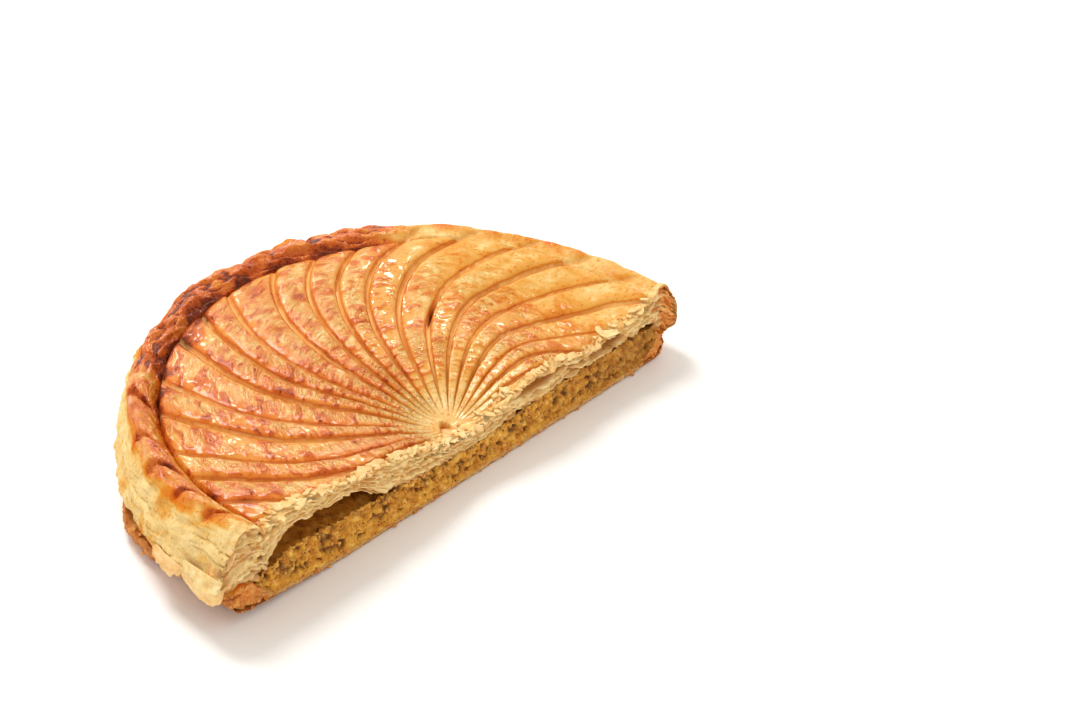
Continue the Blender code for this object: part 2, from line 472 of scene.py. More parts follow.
def add_piece(data, slot, material, *nodes):
    """A smooth object that rides on the one body and stands for the CAD nodes named."""
    data.materials.append(material)
    data.shade_smooth()
    piece = bpy.data.objects.new(data.name, data)
    bpy.context.scene.collection.objects.link(piece)
    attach(piece, "root")
    if nodes:
        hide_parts(*nodes)


# ---------------------------------------------------------------- the lid's top


def sag_depth(radius, angle):
    """How far the lid has sunk beside the cut, on its +X side."""
    return 9.0 * MM * bump(78 * MM, 42 * MM, radius) * arc_bump(-8, 62, angle)


def crown_height(radius, angle):
    """The lid's upper side without its rays."""
    height = np.interp(radius, CROWN[:, 0], CROWN[:, 1])
    sag = sag_depth(radius, angle)
    joined = 2.6 * MM * smooth(0.68 * RADIUS, CREASE_RADIUS, radius) * low_side(angle)
    return height - sag + joined + lean(radius, angle)


def low_side(angle):
    """1 where the border lies flat and pale, without a crease, and 0 elsewhere."""
    return fade(math.radians(42), math.radians(62), angle)


def pillow(across):
    """A ray's rounded section: 1 over most of its width and 0 at its grooves."""
    return 1 - np.abs(2 * across - 1) ** 5.2


def steam_vent(radius, place):
    """1 in the small slit that lies in one of the grooves, and 0 elsewhere."""
    ray = np.round(ray_place(VENT_RADIUS, VENT_DIRECTION))
    return bump(VENT_RADIUS, 0.085 * RADIUS, radius) * bump(ray, 0.10, place)


def ray_relief(radius, place, flat):
    """Height of the rayed pillows and grooves, and the distance from the nearest groove."""
    across = place - np.floor(place)
    spacing = ray_spacing(radius)
    narrow = np.clip(spacing / (9 * MM), 0.22, 1.0)
    waver = 0.16 * MM * noise(flat, 2.2 * MM, 11)
    side = np.minimum(across, 1 - across) * spacing / narrow + waver
    grown = smooth(5 * MM, 26 * MM, radius)
    number = np.floor(place).astype(np.int64)
    uneven = 0.5 * MM * (chance(np.stack([number, 0 * number, 0 * number], -1), 8) * 2 - 1)
    groove = fade(0.3 * MM, 0.85 * MM, side)
    height = 1.7 * MM * grown * (pillow(across) - 0.9) + uneven * pillow(across) * grown
    height = height - 0.85 * MM * groove * smooth(4 * MM, 20 * MM, radius)
    return height - 2.2 * MM * steam_vent(radius, place), side


def front_facing(radius, angle):
    """1 where the rays' far edges, going round, face -X and -Y, and -1 where they face away."""
    slant = 2 * RAY_SWEEP * (radius / RADIUS) ** 2
    cos, sin = np.cos(angle), np.sin(angle)
    outward = -0.8 * cos - 0.6 * sin
    around = 0.8 * sin - 0.6 * cos
    return (slant * outward + around) / np.sqrt(1 + slant ** 2)


def crease_end(angle):
    """1 towards the cut's -X end, where the crease is only a thin line, and 0 elsewhere."""
    return between(160, 270, 14, angle)


def drawn_out(flat, radius, place):
    """Points of the skin unrolled along the rays, for noise that is drawn out along them."""
    ray = np.floor(place)
    along = 0.5 * RADIUS * np.log(np.maximum(radius, 3 * MM) / RADIUS) + 0.5 * radius
    flow = stacked(along, (place - ray) * ray_spacing(radius) + ray * 0.05, 0.0)
    flow[..., 0] += 1.5 * MM * noise(flat, 4 * MM, 33)
    flow[..., 1] += 1.5 * MM * noise(flat, 4 * MM, 34)
    return flow


def wrinkling(flat, radius, angle, across):
    """How wrinkled the egg wash dried: in patches on the crowns, most of all at -X."""
    left = between(95, 270, 40, angle)
    zone = bump(0.5 - 0.1 * front_facing(radius, angle), 0.44, across) ** 0.6
    patchy = smooth(-0.25, 0.25, noise(flat, 15 * MM, 15) + 0.32 * left + 0.05)
    middle = bump(0.42 * RADIUS, 0.45 * RADIUS, radius)
    strength = np.clip(0.6 * left + 0.9 * middle + 0.3 + 0.15 * low_side(angle), 0, 1)
    return zone * patchy * smooth(4 * MM, 16 * MM, radius) * strength


def blistering(flow, radius, angle, across, inner):
    """1 on the small bubbles along the crowns of the rays."""
    blister = smooth(0.12, 0.4, noise(flow * np.array([1.0, 0.6, 1.0]), 2.7 * MM, 20))
    blister = blister * smooth(0.1, 0.25, across) * fade(0.8, 0.95, across) * inner
    return blister * (1 - 0.7 * beyond(0.5, 0.75, radius) * low_side(angle))


def middle_hole(x, y, torn):
    """1 in the small torn opening at the middle of the swirl."""
    east, north = x - CENTRE_X + 2.4 * MM, y - CENTRE_Y + 0.6 * MM
    along, across = 0.63 * east + 0.78 * north, 0.78 * east - 0.63 * north
    return fade(0.55, 1.0, np.hypot(along / (6.2 * MM), across / (2.5 * MM)) + 0.25 * torn)


def burnt_patches(flat, radius, angle):
    """1 on the four places where the rays' outer ends have burnt."""
    burnt = (arc_bump(131, 7, angle) + 1.2 * arc_bump(116, 7, angle) + arc_bump(107, 5, angle)
             + 0.7 * arc_bump(177, 5, angle))
    burnt = np.clip(burnt, 0, 1) * beyond(0.77, 0.85, radius)
    return burnt * smooth(-0.5, 0.3, noise(flat, 6 * MM, 19) + 0.2)


def groove_thread(flat, radius, side, left):
    """1 along the pale, unglazed line at the bottom of each groove."""
    thread = fade(0.5 * MM, 0.78 * MM, side) * smooth(12 * MM, 26 * MM, radius)
    thread = thread * (1 - 0.6 * beyond(0.80, 0.87, radius))
    uneven = 0.45 + 0.55 * smooth(-0.4, 0.3, noise(flat, 13 * MM, 45))
    return thread * uneven * (1 - 0.2 * left)


def lid_top_shape(x, y):
    """Height and painted values of the rayed top at points in plan."""
    radius, angle = polar(x, y)
    place = ray_place(radius, angle)
    flat = stacked(x, y, 0.0)
    across = place - np.floor(place)
    relief, side = ray_relief(radius, place, flat)
    vent = steam_vent(radius, place)
    crown = pillow(across)
    inner = smooth(7 * MM, 26 * MM, radius)
    left = between(95, 270, 40, angle)
    right = low_side(angle)

    height = crown_height(radius, angle)
    height += relief * (1 - 0.5 * smooth(0.82 * RADIUS, CREASE_RADIUS, radius) * (1 - right))
    height += 0.8 * MM * noise(flat, 26 * MM, 12) * inner
    lumps = 0.42 * MM * noise(flat, 7 * MM, 13) + 0.17 * MM * noise(flat, 2.8 * MM, 14)
    height += lumps * (0.3 + 0.7 * crown) * inner
    fall = fade(0.0, 3.4 * MM, CREASE_RADIUS - radius) * (1 - 0.7 * crease_end(angle))
    height += (0.9 * beyond(0.6, 0.83, radius) - 0.9 * fall) * MM * (1 - right)
    tucked = smooth(CREASE_RADIUS - 1.0 * MM, CREASE_RADIUS - 0.1 * MM, radius)
    height -= 4.6 * MM * tucked * (1 - right)

    flow = drawn_out(flat, radius, place)
    wrinkle = wrinkling(flat, radius, angle, across)
    drawn = flow * np.array([1.0, 0.5, 1.0])
    height += 0.46 * MM * ridged(drawn, 2.5 * MM, 2, 16) * wrinkle
    height += 0.26 * MM * right * rough(drawn, 3.2 * MM, 2, 44) * inner
    blister = blistering(flow, radius, angle, across, inner)
    height += 0.32 * MM * blister

    lost = chipping(x, y)
    torn = rough(flat, 2.4 * MM, 3, 17)
    chip = np.clip(lost, 0, 1)
    height += MM * (0.15 * chip - 0.42 * lost + 0.35 * torn * chip)
    hole = middle_hole(x, y, torn)
    height -= 4.6 * MM * hole

    flank = fade(0.7 * MM, 2.0 * MM, side)
    # Which flank of each ray faces the front: painted shade goes on the front-facing flank, and a
    # painted shadow line goes on the far bank of each groove.
    front_side = (across - 0.5) * 2 * front_facing(radius, angle)
    burnt = burnt_patches(flat, radius, angle)
    # Darker along the crease: partly its own browning and partly painted shade.
    rim_dark = beyond(0.848, 0.868, radius) * (1 - right) * (1 - 0.55 * crease_end(angle))
    browning_and_shade = 0.36 + 0.03 * beyond(0.15, 0.5, radius) * (1 - 0.9 * right)
    browning_and_shade += 0.03 * left + 0.10 * wrinkle * torn
    browning_and_shade += 0.10 * rough(flat, 12 * MM, 2, 18) + 0.09 * flank * inner * (1 - 0.3 * right)
    browning_and_shade += 0.21 * blister * (1 - 0.2 * right)
    # Painted shade: deeper orange on each ray's front-facing flank, a dark painted shadow line on
    # the far bank of each groove, and thin painted shade along both edges of every groove.
    browning_and_shade += 0.12 * bump(0.55, 0.5, front_side) * inner * (1 - 0.5 * right)
    browning_and_shade += 0.30 * bump(0.95 * MM, 0.35 * MM, side) * smooth(0.2, -0.4, front_side) * inner
    browning_and_shade += (0.06 + 0.09 * right) * bump(0.9 * MM, 0.35 * MM, side) * inner
    browning_and_shade += 0.42 * burnt + 0.36 * rim_dark - 0.15 * fade(8 * MM, 34 * MM, radius)
    browning_and_shade -= 0.05 * right * beyond(0.4, 0.7, radius)
    browning_and_shade = np.where(hole > 0.3, 0.66, browning_and_shade) + 0.5 * vent
    thread = np.maximum(groove_thread(flat, radius, side, left), 0.35 * hole) * (1 - vent)
    outer_right = right * (0.10 + 0.75 * beyond(0.42, 0.74, radius))
    painted = {
        "browning_and_shade": np.clip(browning_and_shade, 0, 0.92), "thread": thread * (1 - chip), "raw": chip * (1 - hole),
        "wrinkle": wrinkle * (1 - chip), "flow": flow,
        "gloss": (0.3 + 0.7 * crown) * (1 - chip) * (1 - outer_right) * (1 - 0.8 * rim_dark)}
    return height, painted


def make_lid_top():
    """A web of points that follows the swirl, closest together beside the grooves."""
    rings, steps, first = 204, 24, 0.8 * MM
    radius = first + (CREASE_RADIUS - first) * np.linspace(0, 1, rings) ** 0.93
    share = np.arange(steps) / steps
    share = share - 0.075 * np.sin(share * TAU)
    place = (np.arange(RAY_COUNT)[:, None] + share[None, :]).ravel()
    columns = len(place)
    radius, place = np.meshgrid(radius, place, indexing="ij")
    points = placed(radius, place_angle(radius, place), 0.0).reshape(-1, 3)
    faces = list(grid_faces(rings, columns, closed=True))
    faces.append(np.arange(columns)[::-1])
    data = make_mesh("lid_top", points, faces)
    on_cut = knife_cut(data)
    points = vertex_points(data)
    height, painted = lid_top_shape(points[:, 0], points[:, 1])
    points[:, 2] = height
    points[on_cut, 1] = CUT_Y
    pull_back(points, cut_recess(points[:, 0]), 6 * MM)
    set_points(data, points)
    paint(data, painted)
    return data, points[on_cut]


# ---------------------------------------------------------------- the lid's border


def border_profile():
    """From the crease over the border's crest and down the side to the underside."""
    outside = curve_through([
        (CREASE_RADIUS - 1.2 * MM, CREASE_HEIGHT - 4.5 * MM),
        (CREASE_RADIUS - 0.2 * MM, CREASE_HEIGHT - 1.8 * MM),
        (CREASE_RADIUS + 2.0 * MM, CREASE_HEIGHT + 0.8 * MM),
        (0.905 * RADIUS, BORDER_HEIGHT - 0.9 * MM),
        (BORDER_RADIUS, BORDER_HEIGHT),
        (0.965 * RADIUS, BORDER_HEIGHT - 2.2 * MM),
        (0.988 * RADIUS, BORDER_HEIGHT - 6.5 * MM),
        (1.002 * RADIUS, LIP_HEIGHT + 12 * MM),
        (1.018 * RADIUS, LIP_HEIGHT + 5.5 * MM),
        (LIP_RADIUS - 0.8 * MM, LIP_HEIGHT),
        (LIP_RADIUS - 1.8 * MM, SEAM_HEIGHT + 0.4 * MM),
        (0.985 * RADIUS, SEAM_HEIGHT),
        (0.93 * RADIUS, SEAM_HEIGHT),
    ], 10)
    steps = np.linalg.norm(np.diff(outside, axis=0), axis=1)
    travel = np.concatenate([[0], np.cumsum(steps)])
    even = np.linspace(0, travel[-1], 126)
    return np.stack([np.interp(even, travel, outside[:, axis]) for axis in range(2)], axis=1)


def rim_inset(angle):
    """How far the rim is pressed in on one side and flared at the cut's -X end."""
    return (4.0 * arc_bump(130, 52, angle) - 2.0 * arc_bump(188, 30, angle) + 0.4) * MM


def border_zones(angle):
    """1 along the rope at the back, the glazed -X side and the flat +X side, in that order."""
    return between(60, 126, 7, angle), between(134, 270, 6, angle), low_side(angle)


def border_folds(spot, angle, down):
    """The rope's lobes and pressed folds, and the -X side's fine pleats: 0 in each hollow."""
    lobe = np.abs(np.sin(angle * 28 + 3.4 * noise(spot, 26 * MM, 21))) ** 0.6
    lobe = 1 - (1 - lobe) * smooth(-0.5, 0.5, noise(spot, 16 * MM, 32))
    run, fall = RADIUS * angle, down * BORDER_TRAVEL + 1.6 * MM * noise(spot, 9 * MM, 38)
    strand = stacked(0.24 * run + 0.3 * fall, 0.0, 1.1 * fall - 0.32 * run)
    puffs = np.abs(noise(strand, 4.2 * MM, 28)) + 0.35 * np.abs(noise(strand, 1.9 * MM, 40))
    pleats = np.abs(noise(stacked(0.28 * run, 0.0, fall), 3.4 * MM, 39))
    return lobe, puffs, pleats


def crest_browning_and_shade(spot, angle, down, folds):
    """How brown the border's upper side is, with painted shade darkest in its hollows."""
    rope, left, right = border_zones(angle)
    lobe, puffs, pleats = folds
    upper_part = fade(0.32, 0.42, down)
    browning_and_shade = 0.27 + bump(0.19, 0.24, down) * (0.26 * rope + 0.18 * left + 0.07 * right)
    # Painted shade in the notches between the lobes and in the valleys between the puffs.
    browning_and_shade += rope * upper_part * (0.16 * (1 - lobe) + 0.46 * smooth(0.26, 0.06, puffs) + 0.08)
    browning_and_shade += 0.38 * rope * fade(0.05, 0.17, down) * smooth(-0.5, 0.3, noise(spot, 9 * MM, 36))
    # Painted shade in the -X side's pleats, over a little more browning.
    return browning_and_shade + left * upper_part * (0.12 * smooth(0.25, 0.02, pleats) + 0.05)


def side_seams(spot, skin, wall):
    """1 along the shallow branching seams on the lid's side."""
    drawn = skin * np.array([0.5, 0.5, 1.6])
    seams = smooth(0.1, 0.03, np.abs(noise(drawn, 8 * MM, 37))) * wall
    return seams * smooth(-0.1, 0.4, noise(spot, 15 * MM, 41))


def side_leaves(spot, angle, down, wall):
    """The leaves on the lid's side: how far each stands out, the gaps, and how bold each is."""
    layers = down * 13 + 1.3 * noise(spot, 34 * MM, 24) + 0.45 * noise(spot, 8 * MM, 29)
    layer = np.floor(layers)
    step = layers - layer
    ledge = noise(stacked(angle * 8, layer * 5.0, 0.0), 1.0, 25)
    torn = noise(stacked(angle * 60, layer * 5.0, 0.0), 1.0, 30)
    shelf = (0.9 * ledge + 0.3 * torn * smooth(-0.1, 0.4, ledge)) * MM
    shelf = shelf * wall * smooth(0.0, 0.3, step) * fade(0.88, 1.0, step)
    split = fade(0.0, 0.12, np.minimum(step, 1 - step)) * smooth(0.15, 0.6, ledge)
    return shelf, split, ledge


def shape_border(points, down):
    """Moves the turned border's points into shape. Returns them with painted values."""
    radius, angle = polar(points[:, 0], points[:, 1])
    height = points[:, 2]
    spot = stacked(RADIUS * np.cos(angle), RADIUS * np.sin(angle), 0.0)
    skin = spot + stacked(0.0, 0.0, down * BORDER_TRAVEL)
    rope, left, right = border_zones(angle)
    down = np.clip((down - 0.045) / 0.955, 0, 1)
    crest = bump(0.19, 0.24, down)
    wall = smooth(0.3, 0.42, down) * fade(0.80, 0.86, down)

    lobe, puffs, pleats = border_folds(spot, angle, down)
    out = 1.3 * MM * (lobe - 0.8) * rope * smooth(0.08, 0.3, down)
    out = out * (1 - 0.6 * smooth(0.5, 0.8, down))
    up = 1.5 * MM * (lobe - 0.85) * crest * rope - 1.0 * MM * (rope + 0.4 * left) * crest
    out += 0.9 * MM * noise(skin, 14 * MM, 22) * smooth(0.05, 0.3, down)
    lumps = (0.6 + 0.6 * rope + 0.35 * left) * MM * rough(skin, 5.5 * MM, 3, 23)
    folds = 1.8 * MM * (puffs - 0.35) * rope
    up += (lumps * 0.8 + folds) * (crest + 0.15)
    out += lumps * (1 - crest) + folds * (1 - crest) * 0.6
    up += 1.1 * MM * (pleats - 0.3) * left * crest

    shelf, split, ledge = side_leaves(spot, angle, down, wall)
    out += shelf
    out -= 0.9 * MM * split * wall
    out += 0.22 * MM * rough(skin * np.array([1.0, 1.0, 2.5]), 3.0 * MM, 3, 34) * wall

    seams = side_seams(spot, skin, wall)
    out -= 0.5 * MM * seams

    place = ray_place(radius, angle)
    relief, side = ray_relief(radius, place, spot)
    reach = right * within(0.90, 0.95, radius)
    up += relief * reach
    lapped = left * within(0.955, 0.985, radius) * smooth(0.02, 0.12, down)
    up += (1.1 * relief + 0.4 * MM) * lapped
    up += 1.2 * MM * crease_end(angle) * fade(0.03, 0.14, down)
    meet = 4.2 * MM - sag_depth(CREASE_RADIUS, angle)
    up += meet * right * fade(0.02, 0.16, down)
    up += 2.4 * MM * right * bump(0.2, 0.24, down) * smooth(5 * MM, 0.0, points[:, 1] - CUT_Y)
    drop = 3.0 * MM * arc_bump(5, 55, angle) * fade(0.35, 0.6, down) * smooth(0.0, 0.12, down)
    inset = rim_inset(angle) * smooth(BORDER_RADIUS, LIP_RADIUS, radius)
    radius = np.minimum(radius - inset + out, LIP_RADIUS + 2 * MM)
    height = height + up - drop
    moved = placed(radius, angle, height + lean(radius, angle))

    # Darker along the crease: partly its own browning and partly painted shade.
    crack = fade(0.01, 0.085, down + 0.03 * crease_end(angle)) * (1 - right)
    crack = crack * (1 - 0.4 * crease_end(angle))
    patch = rough(skin, 8 * MM, 3, 26)
    upper_part = fade(0.32, 0.42, down)
    browning_and_shade = crest_browning_and_shade(spot, angle, down, (lobe, puffs, pleats))
    browning_and_shade += 0.22 * lapped * fade(0.8 * MM, 2.6 * MM, side)
    fresh = fade(8 * MM, 34 * MM, points[:, 1] - CUT_Y) * left
    browning_and_shade -= 0.24 * fresh * upper_part * smooth(0.02, 0.14, down)
    browning_and_shade += patch * (0.08 + 0.10 * (rope + left) * fade(0.3, 0.42, down))
    browning_and_shade += 0.13 * between(20, 56, 10, angle) * upper_part * (1 + patch) * smooth(0.06, 0.2, down)
    # Besides the crease's darkening: painted shade in the gaps between the side's leaves and along
    # its seams.
    browning_and_shade += crack * (0.36 + 0.12 * patch) + 0.10 * split * wall
    browning_and_shade -= 0.05 * wall * smooth(-0.2, 0.5, ledge)
    browning_and_shade += 0.08 * seams - 0.09 * wall + 0.18 * smooth(0.05, 0.6, rough(skin, 11 * MM, 3, 35)) * wall
    browning_and_shade += 0.30 * smooth(0.83, 0.93, down)
    washed = fade(0.25, 0.33, down + 0.05 * noise(spot, 9 * MM, 27))
    thread = fade(0.62 * MM, 0.85 * MM, side) * reach
    painted = {
        "browning_and_shade": np.clip(browning_and_shade, 0, 0.90), "thread": thread,
        "wrinkle": washed * (0.3 + 0.1 * rope + 0.3 * left), "flow": skin,
        "gloss": washed * (1 - 0.75 * right) * (1 - 0.7 * fresh)}
    return moved, painted


def make_lid_border():
    """The rolled border with the lid's side and lip, turned, cut and moved into shape."""
    data, on_cut = spin("lid_border", border_profile(), 1180)
    down = painted_values(data, "down")
    points, painted = shape_border(vertex_points(data), down)
    points[on_cut, 1] = CUT_Y
    points[:, 1] = np.maximum(points[:, 1], CUT_Y)
    lost = chipping(points[:, 0], points[:, 1])
    chip = np.clip(lost, 0, 1) * fade(0.4, 0.5, down)
    pull_back(points, cut_recess(points[:, 0]), 6 * MM)
    points[:, 2] -= 0.3 * MM * lost * chip
    painted["raw"] = chip
    for key in ("gloss", "thread", "wrinkle"):
        painted[key] = painted[key] * (1 - chip)
    set_points(data, points)
    paint(data, painted)
    return data, points[on_cut & (down < 0.74)]


# ---------------------------------------------------------------- the cut face


def lid_roof(x, y):
    """Height of the lid's underside: the roof of the cavity at the -X end."""
    radius, angle = polar(x, y)
    flat = stacked(x, y, 0.0)
    plateau = smooth(44 * MM, 60 * MM, radius) * fade(96 * MM, 103 * MM, radius)
    deep = fade(8 * MM, 34 * MM, y - CUT_Y)
    hollow = CAVITY_HEIGHT * plateau * deep * between(150, 270, 30, angle)
    edge = filling_edge(angle)
    under = filling_top(np.minimum(radius, edge), angle) + GAP
    under = under + (SEAM_HEIGHT - under) * smooth(edge - 2 * MM, edge, radius)
    return under + hollow * (1 + 0.18 * noise(flat, 8 * MM, 31)) + lean(radius, angle)


def crumb_depth(points, seed):
    """How far coarse almond crumb falls short of the knife's cut, in millimetres."""
    nearest = grains(points, 2.5 * MM, seed)
    fine = grains(points, 0.95 * MM, seed + 9)
    pits = smooth(0.2, 0.6, noise(points, 3.6 * MM, seed + 5))
    pores = smooth(0.4, 0.7, noise(points, 1.6 * MM, seed + 7))
    return (1.5 * smooth(0.1, 0.85, nearest) + 0.45 * fine + 1.1 * pits + 1.1 * pores
            + 0.35 * (1 + noise(points, 11 * MM, seed + 6)))


def make_filling():
    """The frangipane: coarse crumb at the cut, smoother where it was baked on to."""
    ends = [filling_edge(math.radians(side)) - 0.7 * MM for side in (185, -5)]
    x = CENTRE_X + np.linspace(-ends[0], ends[1], 760)[:, None]
    down = even_steps(48)
    radius, angle = polar(x, CUT_Y)
    lift = lean(radius, angle)
    top = filling_top(radius, angle) + lift
    bottom = np.minimum(base_top(radius, angle) - 0.1 * MM + lift, top - 0.5 * MM)
    z = top + (bottom - top) * down
    face = stacked(x, CUT_Y, z)
    depth = crumb_depth(face, 51) * (1 - 0.7 * smooth(0.86, 1.0, down))
    front = stacked(x, CUT_Y + (0.3 + depth) * MM, z)

    inward = np.linspace(0, 1, 30)[None, 1:] ** 1.6
    across = np.maximum(FILLING_RADIUS ** 2 - (x - CENTRE_X) ** 2, (6 * MM) ** 2)
    far = CENTRE_Y + np.sqrt(across)
    y = front[:, -1:, 1] + (far - front[:, -1:, 1]) * inward
    radius, angle = polar(x, y)
    thin = np.minimum(base_top(radius, angle) + GAP, filling_top(radius, angle))
    under = stacked(x, y, thin + lean(radius, angle))
    y = front[:, :1, 1] + (far - front[:, :1, 1]) * inward[:, ::-1]
    radius, angle = polar(x, y)
    flat = stacked(x, y, 0.0)
    nearest = grains(flat, 3.4 * MM, 53)
    bumps = (1.5 * smooth(0.2, 0.9, nearest) + 0.7 * (1 + rough(flat, 5 * MM, 3, 54))) * MM
    bumps = bumps * fade(0.85, 1.0, inward[:, ::-1])
    over = stacked(x, y, filling_top(radius, angle) + lean(radius, angle) - bumps)
    rich = 0.5 * beyond(0.3, 0.8, x - CENTRE_X)
    # sheltered is 1 on the surfaces under the lid and on the base, which get painted shade; depth
    # drives the painted shade in the pores.
    return loft("filling", (front, under, over), sheltered=(0, 1, 1),
                depth=(depth, 0, bumps / MM), rich=(rich, rich, rich))


def top_of_cut(edge_points, span):
    """Height of the lid's upper side along the cut, at evenly spaced places."""
    places = np.round((edge_points[:, 0] - span[0]) / (span[1] - span[0])).astype(int)
    crest = np.full(len(span), -1.0)
    inside = (places >= 0) & (places < len(span))
    np.maximum.at(crest, places[inside], edge_points[inside, 2])
    known = crest > 0
    return np.interp(span, span[known], crest[known])


def softened(values, width):
    """A running average."""
    padded = np.pad(values, width, mode="edge")
    return np.convolve(padded, np.ones(2 * width + 1) / (2 * width + 1), mode="valid")


def leaf_depth(x, z, top, bottom):
    """How far each thin leaf's broken edge falls short of the cut, in millimetres."""
    face = stacked(x, 0.0, z)
    level = np.clip((top - z) / (top - bottom), -0.2, 1.2)
    count = 6.5 + 3.5 * smooth(14 * MM, 22 * MM, top - bottom)
    layers = level * count + 0.5 * ripple(x, 14 * MM, 62)
    layers = layers + 0.22 * noise(face, 2.6 * MM, 63)
    layer = np.floor(layers)
    step = layers - layer
    leaf = stacked(x / (8 * MM) + layer * 7.7, layer * 3.0, 0.0)
    short = 1.3 + 1.7 * noise(leaf, 1.0, 64) + 0.9 * noise(leaf * 5, 1.0, 65)
    gap = fade(0.06, 0.22, np.minimum(step, 1 - step))
    open_gap = smooth(-0.3, 0.3, noise(leaf * 1.7, 1.0, 68))
    depth = np.clip(short, 0, 3.6) + 2.2 * gap * open_gap
    return depth + 0.4 * (1 + rough(face, 1.5 * MM, 3, 66))


def slit_depth(x, z):
    """Two long gaps where the leaves have puffed apart, towards the +X end."""
    along = (x - CENTRE_X) / RADIUS
    line = np.where(along < 0.5, 0.198, 0.176) * RADIUS
    line = line + 0.5 * MM * ripple(x, 7 * MM, 67)
    wide = 2.9 * MM * (bump(0.32, 0.16, along) ** 0.7 + bump(0.65, 0.12, along) ** 0.7)
    inside = fade(0.6, 1.0, np.abs(z - line) / np.maximum(wide, 0.05 * MM))
    return 6.5 * inside * (wide > 0.4 * MM)


def under_lid(x, y):
    """Height of the lid's underside, kept below its top and inside its rim."""
    radius, angle = polar(x, y)
    lowest_top = crown_height(np.minimum(radius, CREASE_RADIUS), angle) - 6 * MM
    found = np.minimum(lid_roof(x, y), lowest_top)
    return np.where(radius < 0.97 * RADIUS, found, SEAM_HEIGHT + 3 * MM)


def make_lid_section(edge_points):
    """The lid's cut face: thin baked leaves over the filling, with slits between them."""
    edge_x = edge_points[:, 0]
    span = np.linspace(edge_x.min() + 0.25 * MM, edge_x.max() - 0.25 * MM, 780)
    top = top_of_cut(edge_points, span)
    x, even_top, top = span[:, None], softened(top, 22)[:, None], top[:, None]
    down = even_steps(58)
    ragged = 0.7 * MM * ripple(x, 3.2 * MM, 61) + 0.4 * MM * ripple(x, 1.3 * MM, 69)
    under = lid_roof(x, CUT_Y)
    radius, angle = polar(x, CUT_Y)
    open_under = under - lean(radius, angle) > filling_top(radius, angle) + 1.5 * MM
    hollow = open_under & (radius < FILLING_RADIUS)
    bottom = np.minimum(under + ragged * np.where(hollow, 1.0, 0.2), top - 0.5 * MM)
    z = top - 0.08 * MM + (bottom - top) * down
    depth = leaf_depth(x, z, even_top, bottom) * smooth(0.0, 0.08, down) + slit_depth(x, z)
    edge = cut_recess(x) * fade(0.03, 0.12, down) + 0.3 * MM
    front = stacked(x, CUT_Y + edge + depth * MM, z)

    inward = np.linspace(0, 1, 30)[None, 1:]
    rounded = np.sqrt(np.maximum((0.95 * RADIUS) ** 2 - (x - CENTRE_X) ** 2, 0.0))
    deep = np.clip(CENTRE_Y + rounded - front[:, -1:, 1], 0.6 * MM, 40 * MM)
    y = front[:, -1:, 1] + deep * inward
    roof_z = under_lid(x, y)
    start = smooth(0.0, 0.15, inward)
    roof = stacked(x, y, bottom * (1 - start) + roof_z * start)
    inner = front[:, -1:, 1] + np.minimum(0.6 * deep, 14 * MM)
    y = y[:, -1:] + (inner - y[:, -1:]) * even_steps(23)
    back_z = np.minimum(under_lid(x, y) + 1.5 * MM, top - 2.5 * MM)
    radius, angle = polar(x, inner)
    ceiling = crown_height(np.minimum(radius, CREASE_RADIUS), angle) - 3.6 * MM
    ceiling = np.maximum(np.minimum(ceiling, top - 1.0 * MM), back_z[:, -1:])
    rise = even_steps(6)
    wall = stacked(x, inner, back_z[:, -1:] + (ceiling - back_z[:, -1:]) * rise)
    back = np.concatenate([stacked(x, y, back_z), wall], axis=1)
    along = (x - CENTRE_X) / RADIUS
    toast = np.clip(smooth(0.87, 0.97, along) + 0.5 * smooth(0.95, 1.03, -along), 0, 1)
    # low is 1 on the lid's underside and back, which get painted shade.
    data = loft("lid_leaves", (front, roof, back), depth=(depth, 0, 0), low=(down, 1, 1),
                toast=(toast, 0.6, 0.6))
    return data, (span, top[:, 0])


# ---------------------------------------------------------------- the base


def base_outline():
    """The base's section from the middle of its top, round its rim, to its underside."""
    radii = np.concatenate([
        np.linspace(0.01, 0.76, 6, endpoint=False),
        np.linspace(0.76, 0.90, 10, endpoint=False)]) * RADIUS
    top = np.stack([radii, base_top(radii, math.pi / 2)], axis=1)
    rim = curve_through([
        (0.90 * RADIUS, SEAM_HEIGHT - GAP),
        (0.985 * RADIUS, SEAM_HEIGHT - GAP),
        (1.003 * RADIUS, 8.5 * MM),
        (0.995 * RADIUS, 3.4 * MM),
        (0.975 * RADIUS, 0.5 * MM),
        (0.95 * RADIUS, 0.0),
        (0.90 * RADIUS, 0.0),
    ], 9)
    radii = np.linspace(0.88, 0.01, 26) * RADIUS
    flat = np.stack([radii, 0 * radii], axis=1)
    return np.concatenate([top, rim, flat])


def make_base():
    """The base's skin, crumbly round its rim, with one chunk that stands out at the -X end."""
    data, on_cut = spin("base_crust", base_outline(), 780, capped=True)
    points = vertex_points(data)
    radius, angle = polar(points[:, 0], points[:, 1])
    outer = beyond(0.92, 0.985, radius)
    nearest = grains(points, 2.3 * MM, 71)
    lumps = (0.55 - nearest) * 1.1 * MM + 0.7 * MM * noise(points, 9 * MM, 72)
    chunk = 5.0 * arc_bump(CHUNK_DIRECTION, CHUNK_HALF_WIDTH, angle) - 3.6
    height = points[:, 2]
    upper = (height > BASE_THICKNESS - 0.1 * MM) & (radius < 0.95 * RADIUS)
    height = np.where(upper, np.minimum(height, base_top(radius, angle)), height)
    height = height * (1 - 0.3 * outer)
    height = height + outer * 1.3 * MM * noise(points, 3.4 * MM, 73) * smooth(0, 3 * MM, height)
    radius = radius + outer * (lumps + chunk * MM)
    points = placed(radius, angle, height + lean(radius, angle))
    points[on_cut, 1] = CUT_Y
    points[:, 1] = np.maximum(points[:, 1], CUT_Y)
    pull_back(points, 1.6 * MM, 5 * MM)
    set_points(data, points)
    paint(data, {"edge": outer})
    return data, points[on_cut]


